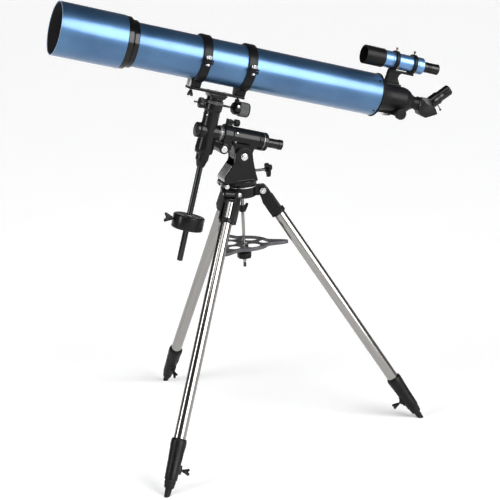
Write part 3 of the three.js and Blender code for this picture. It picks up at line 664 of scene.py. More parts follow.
def build_tray():
    def holes():
        made = []
        for leg in range(3):
            azimuth = math.radians(LEG_ANGLES["right"] + 120 * leg)
            for radius, distance, swing in ((16.4, 57, 0), (21, 41, math.pi / 3)):
                made.append(circle(radius, 64, around(distance, azimuth + swing)))
        return made

    sheet = slab([tray_outline(0.6), circle(4.9, 32), *holes()], TRAY_TOP - 2.5, TRAY_TOP, 0.6)
    rim = slab([tray_outline(0), tray_outline(2.4)], TRAY_TOP - 9, TRAY_TOP - 0.5, 0.5)
    piece("tray_sheet", "tray", TRIPOD, "tray", sheet, rim, node="accessory_tray")
    washer = pipe(13, 5.2, TRAY_TOP + 0.1, TRAY_TOP + 1.6, 48, 0.4)
    piece("tray_washer", "tray", TRIPOD, "steel", washer)
    top = TRAY_TOP - 2.9
    knob = [
        pipe(12, 5, top - 25, top, 48, 1),
        slab([lobed(20, 3, 7, 12), circle(5, 32)], top - 41, top - 25, 2),
        pipe(13.5, 5, top - 42.4, top - 41, 48, 0.4),
    ]
    piece("tray_clamp_knob", "tray_knob", TRIPOD, "knob", *knob, node="tray_knob")


# Leg shapes are given about the leg's own axis: the hinge at the origin, the foot down -Z,
# X away from the tripod's centre.
def build_bracket(name, place):
    cheek = rounded([
        (13, -74), (13, 0), (10, 8.5), (0, 13), (-10, 8.5), (-13, 0), (-16, -16), (-19, -26), (-19, -74),
    ], 5)
    sides = []
    for side in (-1, 1):
        low, high = sorted((side * 16.5, side * 20.3))
        sides.append(upright(cheek, low, high, 0.9))
        low, high = sorted((side * 20.2, side * 21))
        sides.append(placed(bar(10.5, low, high, 48, 0.4), ALONG_Y))
    web = block(-19.6, -16.6, -19, 19, -78, -27, 1, 1.2)
    band = pipe(20.4, 16.5, -80, -69, 64, 0.9)
    piece(f"bracket_{name}", f"leg_{name}", place, "plastic", *sides, web, band,
          node=f"leg_bracket_{name}")


def build_clamp(name, place, screw_turn):
    top, bottom = -CLAMP_TOP, -CLAMP_BOTTOM
    shell = lathe([
        (16.3, top), (16.3, top - 34), (14.9, top - 36), (14.9, bottom), (16.6, bottom),
        (17.2, bottom + 18), (18.0, top - 60), (19.9, top - 24), (20.6, top - 20), (20.6, top - 6),
        (19.4, top - 2), (18.6, top), (16.3, top),
    ], 64, 1.2)
    ribs = [placed(block(17, 20.2, -1, 1, top - 54, top - 22, 0.4, 0.5), turn(angle))
            for angle in range(30, 360, 60)]
    screw_frame = turn(screw_turn) @ move(z=-CLAMP_SCREW)
    boss = placed(pipe(7, 3.4, -24, -15, 32, 0.8), screw_frame @ ALONG_X)
    lugs = placed(block(-21, -14, -9, 9, -12, 12, 1.2), screw_frame)
    clamp = [baked(part, place) for part in (shell, boss, lugs, *ribs)]
    piece(f"clamp_{name}", f"leg_{name}", Matrix(), "plastic", *clamp, node=f"leg_clamp_{name}")
    screw = wing_screw(3, 15, 30, 48, 9.5, 5)
    at = screw_frame @ turn(20, "X") @ turn(-90, "Y")
    piece(f"clamp_screw_{name}", f"leg_clamp_screw_{name}", place, "knob", placed(screw, at),
          node=f"leg_clamp_screw_{name}")


def build_extension(name, place):
    """The inner tube and its foot, cut off level with the floor."""
    start = -CLAMP_BOTTOM - 0.5
    foot = lathe([
        (0, start + 18), (13.4, start + 18), (13.4, start), (14.6, start), (14.6, start - 8),
        (13.8, start - 10), (13.4, start - 15), (12.8, start - 19.5), (8.8, start - 22.5),
        (8.4, start - 30), (7.5, -LEG_LENGTH - 11), (0, -LEG_LENGTH - 11),
    ], 56, 0.8)
    up = place.to_3x3() @ Vector((0, 0, 1))
    foot = baked(foot, place)
    level = [point + up * max(0.0, -point.z) / up.z for point in foot.points]
    foot = Shape(level, foot.faces, foot.finishes)
    body = f"leg_extension_{name}"
    piece(f"foot_{name}", body, Matrix(), "rubber", foot, node=body)
    piece(f"inner_tube_{name}", body, place, "steel", pipe(14.2, 13, start + 12, -330, 48))


def build_legs():
    for name, screw_turn in CLAMP_SCREW_TURNS.items():
        place = LEGS[name]
        build_bracket(name, place)
        build_clamp(name, place, screw_turn)
        build_extension(name, place)
        tube = pipe(15.9, 14.9, -(CLAMP_TOP + 34), -24, 96, 0.3)
        piece(f"steel_tube_{name}", f"leg_{name}", place, "steel", tube, node=f"leg_tube_{name}")


# ---------- azimuth and latitude
def build_azimuth_base():
    cheek = rounded([
        (-57, 716), (37, 716), (31, 742), (26, 772), *arc(25, 0, 150, 14, (0, PIVOT_HEIGHT)),
        (-27, 770), (-57, 732),
    ], 3)
    cheeks = []
    for side in (-1, 1):
        low, high = sorted((side * 21.5, side * 31))
        cheeks.append(upright(cheek, low, high, 1))
        low, high = sorted((side * 30.5, side * 31.8))
        boss = pipe(21, 12, low, high, 64, 0.5)
        cheeks.append(placed(boss, move(z=PIVOT_HEIGHT) @ ALONG_Y))
    front = [(-57, 716), (-50, 716), (-50, 730), (-28, 757), (-33, 762), (-57, 732)]
    front = upright(front, -25, 25, 0.8)
    rear = upright([(29, 716), (37, 716), (31.5, 752), (26, 752)], -25, 25, 0.8)
    lugs = [block(-59, -47, y - 4, y + 4, 704, 722, 0.8) for y in (-18, 18)]
    disc = lathe([(0, 704), (38, 704), (41, 706.5), (41, 718), (38, 720), (0, 720)], 96, 1)
    ledge = block(-61, -18, -22, 22, 713.6, 720, 0.8)
    piece("azimuth_casting", "azimuth", TRIPOD, "enamel", disc, ledge, front, rear, *lugs, *cheeks,
          node="azimuth_base", cast=(0.85, 4))
    bosses = [placed(pipe(24.2, 10.5, low, low + 2, 96, 0.7), move(z=PIVOT_HEIGHT) @ ALONG_Y)
              for low in (-33, 31)]
    piece("latitude_bosses", "azimuth", TRIPOD, "enamel", *bosses)
    # Painted reflection: a light grey metal sheet on the sloping front web stands in for the sheen that
    # the glossy black casting shows there.
    painted_sheen_outline = [(-57.6, 722), (-57.6, 732.4), (-33.6, 762.6), (-32.4, 761.6), (-55.6, 731.2), (-55.6, 722)]
    piece("azimuth_front_painted_sheen", "azimuth", TRIPOD, "bare", upright(painted_sheen_outline, -24, 24, 0.3))


def build_mount_bolts():
    for name, side in (("near", -1), ("far", 1)):
        place = TRIPOD @ shift(AZIMUTH_PIN_X, 0, AZIMUTH_BOLT_HEIGHT) @ turn(-90 * side, "X")
        bolt = [thread(3.5, 6, 31, 1.25, 0.4), ribbed_grip(6, 0.5, 18, 31, 38, 0.6),
                bar(4, 37, 38.4, 32, 0.3)]
        piece(f"azimuth_screw_{name}", f"azimuth_bolt_{name}", place, "chrome", *bolt,
              node=f"azimuth_bolt_{name}")
    pivot = [
        bar(6, -32.5, 32.5, 40), slab([circle(8.2, 6)], -39, -34, 0.7), bar(9.4, -34.4, -32.8, 48),
        bar(4.6, -39.6, -38, 32, 0.5),
        slab([circle(9, 6)], 34, 40, 0.7), bar(10, 32.8, 34.4, 48),
    ]
    piece("latitude_pivot", "latitude_bolt", TRIPOD @ shift(z=PIVOT_HEIGHT) @ ALONG_Y, "chrome", *pivot,
          node="latitude_bolt")
    place = TRIPOD @ shift(z=T_BOLT_HEIGHT) @ ALONG_X
    tip = TONGUE_LENGTH * math.sin(math.radians(TONGUE_LEAN)) + 8.8
    piece("latitude_screw", "latitude_t_bolt", place, "thread", thread(4, tip, 69, 1.5, 0.5),
          node="latitude_t_bolt")
    handle = [bar(7, 68, 84, 40, 1.2), slab([lobed(22, 12, 3, 20)], 73, 83.6, 2.4)]
    piece("latitude_handle", "latitude_t_bolt", place, "knob", *handle)


# ---------- polar axis
def build_polar_housing():
    neck_top = RA_Z - 10
    px, pz = PIVOT
    neck = rounded([(px - 24, pz), (px + 24, pz), (px + 30, neck_top), (px - 34, neck_top)], 3)
    lean = HEAD_TILT + TONGUE_LEAN
    tongue = placed(block(-7, 7, -12, 12, -TONGUE_LENGTH, 0, 1), move(px, 0, pz) @ turn(-lean, "Y"))
    lean = math.radians(lean)
    end = (px + TONGUE_LENGTH * math.sin(lean), pz - TONGUE_LENGTH * math.cos(lean))
    worm_x, worm_z = RA_WORM
    shapes = [
        placed(lathe([(0, 4), (28, 4), (28, 26), (25.5, 30), (25.5, 105), (0, 105)], 96, 1),
               move(z=RA_Z) @ ALONG_X),
        upright(neck, -20.5, 20.5, 1),
        cross_bar(24, -20.5, 20.5, px, pz, 72, 1),
        tongue,
        cross_bar(8, -12, 12, *end, 40, 1),
        cross_bar(13, -26, 24, worm_x, worm_z, 48, 1.5),
        block(worm_x - 4, worm_x + 20, -22, 20, worm_z, RA_Z - 18, 1),
        block(9, 25, -8, 8, RA_Z + 20, RA_Z + 43, 1),
    ]
    piece("polar_casting", "polar_head", HEAD, "enamel", *shapes, node="ra_housing", cast=(0.9, 4))
    cap = [bar(8.6, -28, -25, 40, 0.8), bar(3.2, -29.2, -27.5, 6, 0.2)]
    piece("worm_cap", "polar_head", HEAD @ shift(worm_x, 0, worm_z) @ ALONG_Y, "chrome", *cap)
    spots = [radial(angle, 25.4, 38) for angle in (-62, 62, -118, 118)]
    screws("polar_casting_screws", "polar_head", POLAR, "thread", spots, screw_head(3, 2))


def build_polar_axis():
    shaft = lathe([(0, -12), (20, -12), (20, -8.4), (15, -8), (15, 4), (0, 4)], 72, 0.6)
    piece("polar_flange", "declination_housing", POLAR, "dark_chrome", shaft, node="ra_shaft")
    place = POLAR @ shift(z=-2.1)
    ring = pipe(22.5, 15.4, -5.5, 5.5, 120, 0.6)
    piece("hour_ring", "ra_setting_circle", place, "hour_circle", ring, node="ra_setting_circle")
    place = HEAD @ shift(z=RA_CLAMP_Z) @ ALONG_X
    knob = [bar(3, 14, 31, 24), slab([lobed(9.5, 1.5, 8, 10)], 30.5, 44.6, 1.2),
            bar(5.6, 44, 46, 32, 0.6)]
    piece("polar_clamp_knob", "ra_clamp_knob", place, "knob", *knob, node="ra_clamp_knob")
    worm_x, worm_z = RA_WORM
    place = HEAD @ shift(worm_x, 0, worm_z) @ ALONG_Y
    piece("polar_slow_shaft", "ra_worm", place, "chrome", bar(3, 24.4, 44, 32))
    knob = [lathe([(0, 36), (11, 36), (12.4, 38), (12.4, 44.4), (0, 44.4)], 56, 0.8),
            ribbed_grip(14, 1, 22, 44, 62.5, 0.8), bar(11, 62, 64, 48, 0.8)]
    piece("polar_slow_knob", "ra_worm", place, "grip", *knob, node="ra_worm_knob")


def build_polar_scope():
    collar = ridged([(12, 105.4), (24.2, 105.4)], 107, 117, 25, 6, 0.6)
    collar += [(24.2, 118.4), (24.2, 120.4), (25, 121), (25, 129), (23.6, 131), (12, 131), (12, 105.4)]
    piece("polar_collar", "polar_head", POLAR, "gloss", lathe(collar, 96, 0.25), node="polar_scope")
    piece("polar_index_ring", "polar_head", POLAR, "bare", pipe(24.7, 20, 119, 119.9, 96, 0.2))
    tube = [(0, 130), (12.8, 130), (12.8, 146), (13.2, 146.6), (13.2, 149), (12.8, 149.6), (12.8, 166)]
    tube += [(14, 167), (14, 177), (13, 178), (9, 178), (8, 174), (0, 174)]
    piece("polar_telescope", "polar_head", POLAR, "gloss", lathe(tube, 80, 0.4))


# ---------- declination axis
def build_declination_housing():
    y, z = DEC_WORM
    shapes = [
        placed(lathe([
            (0, -262), (17.5, -262), (18, -246), (24, -241), (25, -232), (23, -205), (21.5, -150),
            (21.5, -129), (24.5, -126), (24.5, -109.4), (0, -109.4),
        ], 96, 1), move(DEC_X)),
        placed(bar(21, DEC_X - 24.5, -12.4, 72, 1), move(z=RA_Z) @ ALONG_X),
        placed(bar(8.5, -56, -18, 40, 1.2), move(0, y, z) @ ALONG_X),
        block(-54, -20, 10, y + 3, -126, z, 1),
        block(-66.6, -54, -8, 8, -126, DEC_CLAMP_Z, 1),
        placed(bar(8, -66.4, -60, 40), move(z=DEC_CLAMP_Z) @ ALONG_X),
    ]
    piece("declination_casting", "declination_housing", HEAD, "enamel", *shapes,
          node="dec_housing", cast=(0.9, 4))
    cap = lathe([
        (0, -73), (15, -73), (18.4, -72.4), (20.2, -70.4), (20.2, -64.6), (19.2, -62), (0, -62),
    ], 80, 1)
    dimple = pipe(13, 11.6, -73.6, -72.6, 64, 0.3)
    piece("polar_front_cap", "declination_housing", POLAR, "gloss", cap, dimple, node="ra_front_cap")
    spots = [radial(angle, 21.6, -140) for angle in (-140, -40, 40, 140)]
    screws("declination_casting_screws", "declination_housing", DECLINATION, "thread", spots,
           screw_head(2.6, 1.8))


def build_declination_knobs():
    place = DECLINATION @ shift(z=-104.8)
    ring = pipe(24.5, 13.4, -4.2, 4.2, 120, 0.5)
    piece("declination_ring", "dec_setting_circle", place, "dec_circle", ring, node="dec_setting_circle")
    place = HEAD @ shift(z=DEC_CLAMP_Z) @ ALONG_X
    knob = [bar(3, -67.2, -52, 24), slab([lobed(14, 1.6, 14, 8)], -79, -67.2, 1),
            bar(10, -80, -78, 48, 0.8)]
    piece("declination_clamp", "dec_clamp_knob", place, "gloss", *knob, node="dec_clamp_knob")
    stub = [bar(2.5, -93, -79.6, 24, 0.6), bar(4, -82.4, -79.8, 32)]
    piece("declination_clamp_stub", "dec_clamp_knob", place, "dark_chrome", *stub)
    y, z = DEC_WORM
    place = HEAD @ shift(0, y, z) @ ALONG_X
    piece("declination_slow_shaft", "dec_worm", place, "dark_chrome", bar(3, -18, 30, 40),
          bar(5, -17.6, -13, 40), node="dec_worm_knob")
    hub = [(0, 27), (12, 27), (13.4, 28.2), (17.6, 33.6), (18, 35), (18, 46.4), (0, 46.4)]
    hub = lathe(hub, 64, 0.8)
    piece("declination_slow_hub", "dec_worm", place, "gloss", hub)
    piece("declination_slow_set_screw", "dec_worm", place @ turn(-115) @ shift(x=17.4, z=39) @ ALONG_X,
          "chrome", screw_head(3.4, 1.8))
    piece("declination_slow_grip", "dec_worm", place, "grip", ribbed_grip(20, 1.3, 26, 46.4, 70.6, 1))
    rim = [pipe(19, 12, 70.4, 74, 64, 1), bar(12.4, 70.4, 72.6, 48)]
    piece("declination_slow_rim", "dec_worm", place, "knob", *rim)


def build_saddle():
    top = PLATE_BOTTOM - 0.4
    outline = rounded([(-62, top), (-56, -93), (-18, -93), (-10, top)], 2)
    flange = lathe([(0, -100.2), (20.6, -100.2), (22, -99), (22, -92), (0, -92)], 80, 0.7)
    block_shapes = [upright(outline, -22, 22, 1), placed(flange, move(DEC_X))]
    piece("saddle_block", "saddle", HEAD, "enamel", *block_shapes, node="saddle")
    plate = block(-120, 38, -19, 19, PLATE_BOTTOM, PLATE_TOP, 0.8, 3)
    piece("dovetail_plate", "saddle", HEAD, "band", plate, node="mounting_plate")
    spots = [move(x, 0, PLATE_TOP - 0.1) for x in (-60, -37, -14)]
    screws("saddle_screws", "saddle", HEAD, "thread", spots, screw_head(4.6, 2.4))
    stop = block(-119.6, -113.9, -12, 12, PLATE_TOP, -56, 0.8, 1)
    piece("plate_stop", "saddle", HEAD, "bare", stop)
    at = move(-108, 0, PLATE_BOTTOM) @ turn(180, "X") @ turn(50)
    piece("plate_wing_screw", "saddle", HEAD, "knob", placed(wing_screw(3, -4, 3, 19, 9, 4.5), at))
    screw = [bar(3, -4, 5, 24), ribbed_grip(6.5, 0.8, 14, 4, 13, 0.8)]
    at = move(25, 0, PLATE_BOTTOM) @ turn(180, "X")
    piece("plate_screw", "saddle", HEAD, "knob", *[placed(part, at) for part in screw])


def build_counterweight():
    shaft = lathe([(0, -540), (6.4, -540), (8, -538), (8, -277), (0, -277)], 64, 0.6)
    piece("weight_shaft", "declination_housing", DECLINATION, "dark_chrome", shaft,
          node="counterweight_shaft")
    cone = lathe([(0, -281), (9.6, -281), (12, -276), (15.4, -264), (16, -262.5), (0, -262.5)], 64, 0.8)
    piece("weight_shaft_collar", "declination_housing", DECLINATION, "enamel", cone)
    place = DECLINATION @ shift(z=WEIGHT_Z)
    body = lathe([
        (8.5, -19), (40.4, -19), (43, -16.6), (43, 16.6), (40.4, 19), (30, 19), (29, 18.2), (14, 18.2),
        (13, 19), (8.5, 19), (8.5, -19),
    ], 128, 1.2)
    piece("weight", "counterweight", place, "enamel", body, node="counterweight")
    piece("weight_bush", "counterweight", place, "bare", pipe(11, 8.3, 17, 19.6, 48, 0.4))
    screw = wing_screw(3.5, 9, 47, 68, 13, 6)
    place = HEAD @ shift(DEC_X, 0, WEIGHT_SCREW_Z) @ turn(-10, "X") @ turn(-90, "Y")
    piece("weight_screw", "counterweight_screw", place, "knob", screw, node="counterweight_screw")


# ---------- rings
def band_outline(upper):
    """Half of a ring in the plane across the tube, with its clamp ear and its hinge lug."""
    side = 1 if upper else -1
    ear, lug = (5, 8) if upper else (-7, -8)
    gap = 0.4 * side
    outside = arc(63.5, 0, 180 * side, 64)
    keep = [p for p in outside if abs(p[1]) > abs(ear) + 0.5]
    inside = arc(57.9, 180 * side, 0, 64)
    inside = [p for p in inside if abs(p[1]) > 0.6]
    return [(67, gap), (67, lug), *keep, (-78, ear), (-78, gap), (-57.9, gap), *inside, (57.9, gap)]


def build_rings():
    for name, centre in RINGS.items():
        for upper in (False, True):
            shapes = [placed(slab([band_outline(upper)], -12, 12, 0.7), ACROSS_X)]
            if not upper:
                foot = [(-17, PLATE_TOP + 0.4), (17, PLATE_TOP + 0.4), (21, -60), (-21, -60)]
                shapes.append(placed(slab([rounded(foot, 2)], -12, 12, 0.8), ACROSS_X))
            kind = "upper" if upper else "lower"
            body = f"ring_upper_{name}" if upper else "saddle"
            piece(f"ring_{kind}_band_{name}", body, HEAD @ shift(x=centre), "band", *shapes,
                  node=f"ring_{kind}_{name}")
        place = HEAD @ shift(centre, RING_SCREW_Y, 0)
        screw = [bar(3, 1, 6, 24), slab([lobed(7, 1.2, 10, 8)], 5.4, 13.6, 0.9),
                 bar(4.4, 13, 15, 32, 0.5)]
        piece(f"ring_clamp_screw_{name}", f"ring_screw_{name}", place, "chrome", *screw,
              node=f"ring_screw_{name}")
        nut = slab([circle(5.5, 6)], -12, -7.2, 0.5)
        piece(f"ring_clamp_nut_{name}", "saddle", place, "chrome", nut)
        pin = placed(bar(2.4, -14, 14, 24, 0.6), move(y=66) @ ALONG_X)
        piece(f"ring_hinge_pin_{name}", "saddle", HEAD @ shift(x=centre), "chrome", pin)


# ---------- optical tube
def build_tube():
    barrel = pipe(57.5, 56, -287, 412, 192, 0.3, lambda radius, _: 0 if radius > 56.6 else 1)
    piece("tube_barrel", "saddle", TUBE, ["blue", "inside"], barrel, node="main_tube")
    spots = [radial(angle, 57.3, 403) for angle in (45, 135, 225, 315)]
    screws("tube_rear_screws", "saddle", TUBE, "gloss", spots, screw_head(2.8, 1.6))
    shade = lathe([
        (66.6, -493), (67.2, -494.2), (69, -494.2), (69, -319.6), (66.7, -319.6), (66.6, -493),
    ], 192, 0.3, lambda radius, _: 0 if radius > 67 else 1)
    piece("shade_barrel", "saddle", TUBE, ["blue", "inside"], shade, node="dew_shield")
    # Painted highlight: the front rim of the shade is a lighter blue, for the bright edge that the light
    # catches.
    piece("shade_rim_painted_highlight", "saddle", TUBE, "rim", pipe(69, 66.4, -494.3, -493.2, 192, 0.4))


def build_cell():
    cell = lathe([
        (48, -272), (48, -312), (51, -316), (51, -336), (53, -337), (64.6, -337), (66.1, -335),
        (66.1, -319.2), (67.4, -319.2), (67.8, -318), (67.8, -306), (66.8, -304.6), (60.2, -304.6),
        (60.2, -301.8), (61, -301.6), (61.8, -300.6), (61.8, -289), (61, -287.6), (55.5, -287.4),
        (55.5, -272), (48, -272),
    ], 160, 0.6)
    piece("cell", "saddle", TUBE, "gloss", cell, node="lens_cell")
    lens = lathe([(0, -336.5), (13, -336.1), (26, -335), (39, -333), (50.6, -330.5), (50.6, -319),
                  (44, -317.5), (0, -317.5)], 128, 0.4)
    piece("front_lens", "saddle", TUBE, "glass", lens, node="objective_lens")
    piece("lens_retaining_ring", "saddle", TUBE, "gloss", pipe(51.4, 48.6, -338.6, -331, 128, 0.5))


def build_focuser():
    shell = lathe([
        (52, 396), (55.6, 396), (55.6, 412.3), (59.4, 412.3), (60.2, 413), (60.2, 415), (59, 416),
        (47, 417.2), (44, 421), (41, 434), (38.4, 452), (37, 480), (36, 500), (33.6, 509), (29, 518),
        (23.4, 524), (21, 526), (20.4, 531), (17.8, 531), (17.8, 505), (30, 500), (31, 420), (52, 410),
        (52, 396),
    ], 128, 1.4)
    case = [block(472, 502, -17, 17, -44, -30, 1.2, 4), block(424, 476, -12, 12, -43, -33, 1.2, 3),
            cross_bar(10, -27, 27, *PINION, 48, 1)]
    shoe = block(434, 482, -13, 13, 32, 41, 1, 2)
    piece("focuser_casting", "saddle", HEAD, "anodised", placed(shell, ALONG_X), *case, shoe,
          node="focuser_housing")
    plate = block(426, 456, -11, 11, -46.4, -43.4, 0.6, 2)
    piece("focuser_pressure_plate", "saddle", HEAD, "bare", plate)
    spots = [move(x, y, -46.2) @ turn(180, "X") for x in (431, 451) for y in (-7, 7)]
    screws("focuser_plate_screws", "saddle", HEAD, "thread", spots, screw_head(2.2, 1.6))
    tube = lathe([
        (16.1, 433), (17.3, 433), (17.3, 546.2), (19.4, 546.6), (19.4, 550.4), (18.6, 551), (16.1, 551),
        (16.1, 433),
    ], 96, 0.4)
    piece("draw_barrel", "drawtube", TUBE, "anodised", tube, node="drawtube")
    place = HEAD @ shift(PINION[0], 0, PINION[1]) @ ALONG_Y
    for side, low in ((1, 34), (-1, -47)):
        face = 46.6 if side > 0 else -46.6
        rim = pipe(12.4, 9.6, *sorted((face, face + side * 1.0)), 64, 0.3)
        knob = [ribbed_grip(16, 1.2, 28, low, low + 13, 1.2), rim]
        piece(f"focus_wheel_{'far' if side > 0 else 'near'}", "focus_knobs", place, "knob", *knob,
              node="focus_knobs" if side > 0 else None)
    piece("focus_shaft", "focus_knobs", place, "chrome", bar(3, -35, 35, 24), bar(8, 27.4, 34.4, 48),
          bar(8, -34.4, -27.4, 48))
    screw = [bar(2.5, -42, -30, 24), ribbed_grip(6.5, 1, 12, -50, -40.5, 0.8)]
    piece("focus_lock", "focus_lock_screw", HEAD @ shift(x=460), "thread", *screw,
          node="focus_lock_screw")


def build_diagonal():
    prism = rounded([
        (551.5, 17), (551.5, -17), (558, -28), (579, -34), (613, -17), (602, -2), (578, 20), (566, 20),
    ], 2)
    cover = rounded([(560, -22), (579, -29), (606, -15), (598, -4), (578, 13), (563, 10)], 2)
    shapes = [upright(prism, -14.8, 14.8, 0.9)]
    shapes += [upright(cover, *sides, 0.4) for sides in ((-15.5, -14.6), (14.6, 15.5))]
    holder = pipe(17.5, 15.9, 12, 37, 80, 0.6)
    lip = pipe(18.2, 16, 33, 37, 80, 0.6)
    shapes += [placed(part, move(FOLD_X) @ turn(45, "Y")) for part in (holder, lip)]
    piece("diagonal_case", "star_diagonal", HEAD, "gloss", *shapes, node="star_diagonal")
    piece("diagonal_nose", "star_diagonal", TUBE, "chrome", pipe(15.7, 12, 534, 553, 80, 0.4))
    place = HEAD @ shift(x=FOLD_X) @ turn(45, "Y")
    bulge = [(3.2 * math.sin(a), 34 - 3.2 * math.cos(a)) for a in (0.5, 0.9, 1.3, 1.7, 2.1, 2.5, 2.9)]
    ball = lathe([(0, 28.6), (1.3, 28.8), (1.3, 31), *bulge, (0, 37.2)], 32, 0)
    stem = bar(1.4, 16.4, 31, 20)
    piece("eyepiece_thumb_screw", "star_diagonal", place @ shift(z=29) @ ALONG_X, "gloss", ball, stem)
    eyepiece = lathe([
        (0, 18), (15.5, 18), (15.5, 37.4), (17, 37.6), (17, 41), (15.3, 43), (15.3, 52), (15, 52.4),
        (15, 53.4), (15.3, 53.8), (15.3, 74), (15.4, 75), (15.4, 77.6), (14, 79.6), (11, 79.6), (9, 77),
        (0, 76),
    ], 96, 0.5)
    piece("eyepiece_barrel", "eyepiece", Matrix(), "gloss", baked(eyepiece, place), node="eyepiece")
    lens = lathe([(0, 76.2), (8, 76.2), (8, 77), (0, 78.4)], 48, 0.2)
    piece("eyepiece_lens", "eyepiece", place, "glass", lens)


# ---------- finder
def build_finder():
    stalk = rounded([
        (436, 41.4), (480, 41.4), (470, 56), (472, 66), (481, 73), (511, 73), (511, 77.8), (440, 77.8),
        (438, 66),
    ], 3)
    shapes = [upright(stalk, -7, 7, 1), block(442, 514, -9, 9, 71, 77.6, 1, 2)]
    for x in FINDER_RINGS:
        band = pipe(27.5, 24.4, x - 5, x + 5, 96, 0.8)
        shapes.append(placed(band, move(z=FINDER_Z) @ ALONG_X))
    piece("finder_holder", "saddle", HEAD, "anodised", *shapes, node="finder_bracket")
    screw = merged(bar(1.6, -3.6, 4, 20), ribbed_grip(3.4, 0.5, 12, 3.4, 8.6, 0.5),
                   bar(2.2, 8.2, 9.6, 24))
    spots = [radial(angle, 27.2, x) for x in FINDER_RINGS for angle in (180, 60, -60)]
    screws("finder_screws", "saddle", FINDER, "brass", spots, screw)

    def skin(radius, z):
        if radius < 22.2 or z > 534.8:
            return 2
        return 1 if z < 413.4 else 0

    tube = lathe([
        (23.4, 355), (25.8, 355), (25.8, 412.6), (24.8, 413.6), (23.6, 414), (23.6, 437), (22.3, 439),
        (22.3, 516), (23.2, 517), (23.2, 534), (22.4, 535), (12.6, 535), (12.6, 530), (20.5, 526),
        (20.5, 420), (23.2, 400), (23.4, 355),
    ], 112, 0.4, skin)
    piece("finder_barrel", "finder", FINDER, ["light_blue", "anodised", "inside"], tube,
          node="finder_tube")
    lens = lathe([(0, 396), (12, 396.8), (22.6, 399), (22.6, 403), (0, 403)], 64, 0.3)
    piece("finder_front_lens", "finder", FINDER, "glass", lens)
    end = [(0, 524), (12.2, 524), (12.2, 539), (14.5, 539.4), (14.5, 545)]
    end = ridged(end, 547, 561, 14.5, 8, 0.5)
    end += [(14.5, 580), (15, 581), (15, 585), (14, 586), (9, 586), (7, 583), (0, 583)]
    piece("finder_ocular", "finder_eyepiece", FINDER, "gloss", lathe(end, 80, 0.3),
          node="finder_eyepiece")


# ---------- the object
build_hub()
build_hinge_bolts()
build_centre_rod()
build_tray()
build_legs()
build_azimuth_base()
build_mount_bolts()
build_polar_housing()
build_polar_axis()
build_polar_scope()
build_declination_housing()
build_declination_knobs()
build_saddle()
build_counterweight()
build_rings()
build_tube()
build_cell()
build_focuser()
build_diagonal()
build_finder()


# ---------- floor, light and camera
LIGHT_DISTANCE = 3.0  # metres
LIGHT_TARGET = 0.9  # metres above the floor
CAMERA_ANGLES = (-19.459, 15.479, -2.260)  # azimuth, pitch and roll, in degrees
CAMERA_OFFSET = (-1.22433, -3.51197, 1.54965)  # metres from the tripod's centre
CAMERA_LENS = 101.783
CAMERA_SENSOR = 36
FLOOR_SIZE = 60  # metres from the middle to an edge


def build_floor():
    material, tree, shader, node = new_material("pale_floor")
    noise = node("ShaderNodeTexNoise", Vector=stretched(node, (1, 1, 1)), Scale=3.0, Detail=2.0)
    color = ramp(node, noise.outputs["Fac"], [(0.3, (0.86, 0.86, 0.865)), (0.7, (0.88, 0.88, 0.88))])
    tree.links.new(color, shader.inputs["Base Color"])
    shader.inputs["Roughness"].default_value = 0.9
    shader.inputs["Specular IOR Level"].default_value = 0.1
    shader.inputs["Emission Color"].default_value = (1, 1, 1, 1)
    shader.inputs["Emission Strength"].default_value = 0.27
    mesh = bpy.data.meshes.new("floor")
    corners = [(x * FLOOR_SIZE, y * FLOOR_SIZE, 0) for x, y in ((-1, -1), (1, -1), (1, 1), (-1, 1))]
    mesh.from_pydata(corners, [], [(0, 1, 2, 3)])
    mesh.materials.append(material)
    floor = add_object("floor", mesh)
    floor.location = tripod_centre - Vector((0, 0, 0.0005))


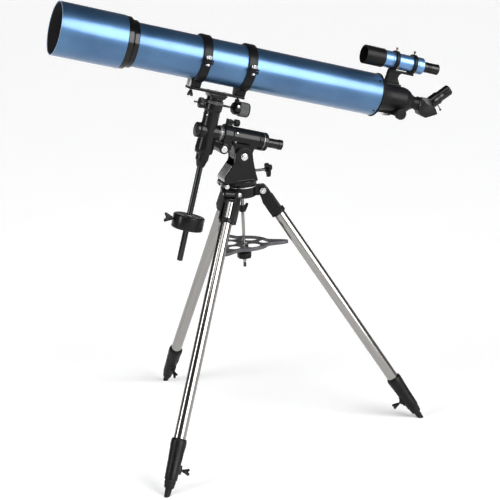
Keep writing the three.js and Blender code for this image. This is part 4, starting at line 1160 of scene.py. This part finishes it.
def build_world():
    """A dim studio: dark overhead, grey towards the horizon."""
    world = bpy.data.worlds.new("studio")
    bpy.context.scene.world = world
    world.use_nodes = True
    tree = world.node_tree
    node = node_adder(tree)
    coordinates = node("ShaderNodeTexCoord")
    split = node("ShaderNodeSeparateXYZ", Vector=coordinates.outputs["Generated"])
    stops = [(0.0, grey(0.20, 1.02)), (0.35, grey(0.12, 1.02)), (0.6, grey(0.05, 1.02)),
             (1.0, grey(0.02, 1.02))]
    sky = ramp(node, split.outputs["Z"], stops)
    background = tree.nodes["Background"]
    tree.links.new(sky, background.inputs["Color"])
    background.inputs["Strength"].default_value = 1.0


def add_light(name, kind, azimuth, elevation, energy):
    """A light that faces the mount. Azimuth 0 stands in front, on -Y, and turns to the left."""
    light = bpy.data.lights.new(name, kind)
    light.energy = energy
    a, e = math.radians(azimuth), math.radians(elevation)
    offset = Vector((-math.sin(a) * math.cos(e), -math.cos(a) * math.cos(e), math.sin(e)))
    facing = (-offset).to_track_quat("-Z", "Y").to_matrix().to_4x4()
    target = tripod_centre + Vector((0, 0, LIGHT_TARGET))
    thing = add_object(name, light)
    thing.matrix_world = Matrix.Translation(target + offset * LIGHT_DISTANCE) @ facing
    return light


def build_lights():
    ceiling = add_light("ceiling_light", "SUN", 30, 62, 0.8)
    ceiling.angle = math.radians(35)
    key = add_light("key_light", "SUN", -31, 23, 4.0)
    key.angle = math.radians(46)
    softbox = add_light("left_softbox", "AREA", 78, 22, 45)
    softbox.shape = "RECTANGLE"
    softbox.size = 0.8
    softbox.size_y = 2.2


def build_camera():
    """The camera, placed from the tripod's centre and rolled about its line of sight."""
    azimuth, pitch, roll = (math.radians(angle) for angle in CAMERA_ANGLES)
    back = Vector((math.sin(azimuth) * math.cos(pitch), -math.cos(azimuth) * math.cos(pitch),
                   math.sin(pitch)))
    right = Vector((math.cos(azimuth), math.sin(azimuth), 0))
    up = back.cross(right)
    rolled_right = math.cos(roll) * right + math.sin(roll) * up
    rolled_up = -math.sin(roll) * right + math.cos(roll) * up
    lens = bpy.data.cameras.new("camera")
    lens.lens = CAMERA_LENS
    lens.sensor_width = CAMERA_SENSOR
    camera = add_object("camera", lens)
    matrix = Matrix((rolled_right, rolled_up, back)).transposed().to_4x4()
    matrix.translation = tripod_centre + Vector(CAMERA_OFFSET)
    camera.matrix_world = matrix
    bpy.context.scene.camera = camera


bpy.context.scene.view_settings.view_transform = "Standard"
build_floor()
build_world()
build_lights()
build_camera()
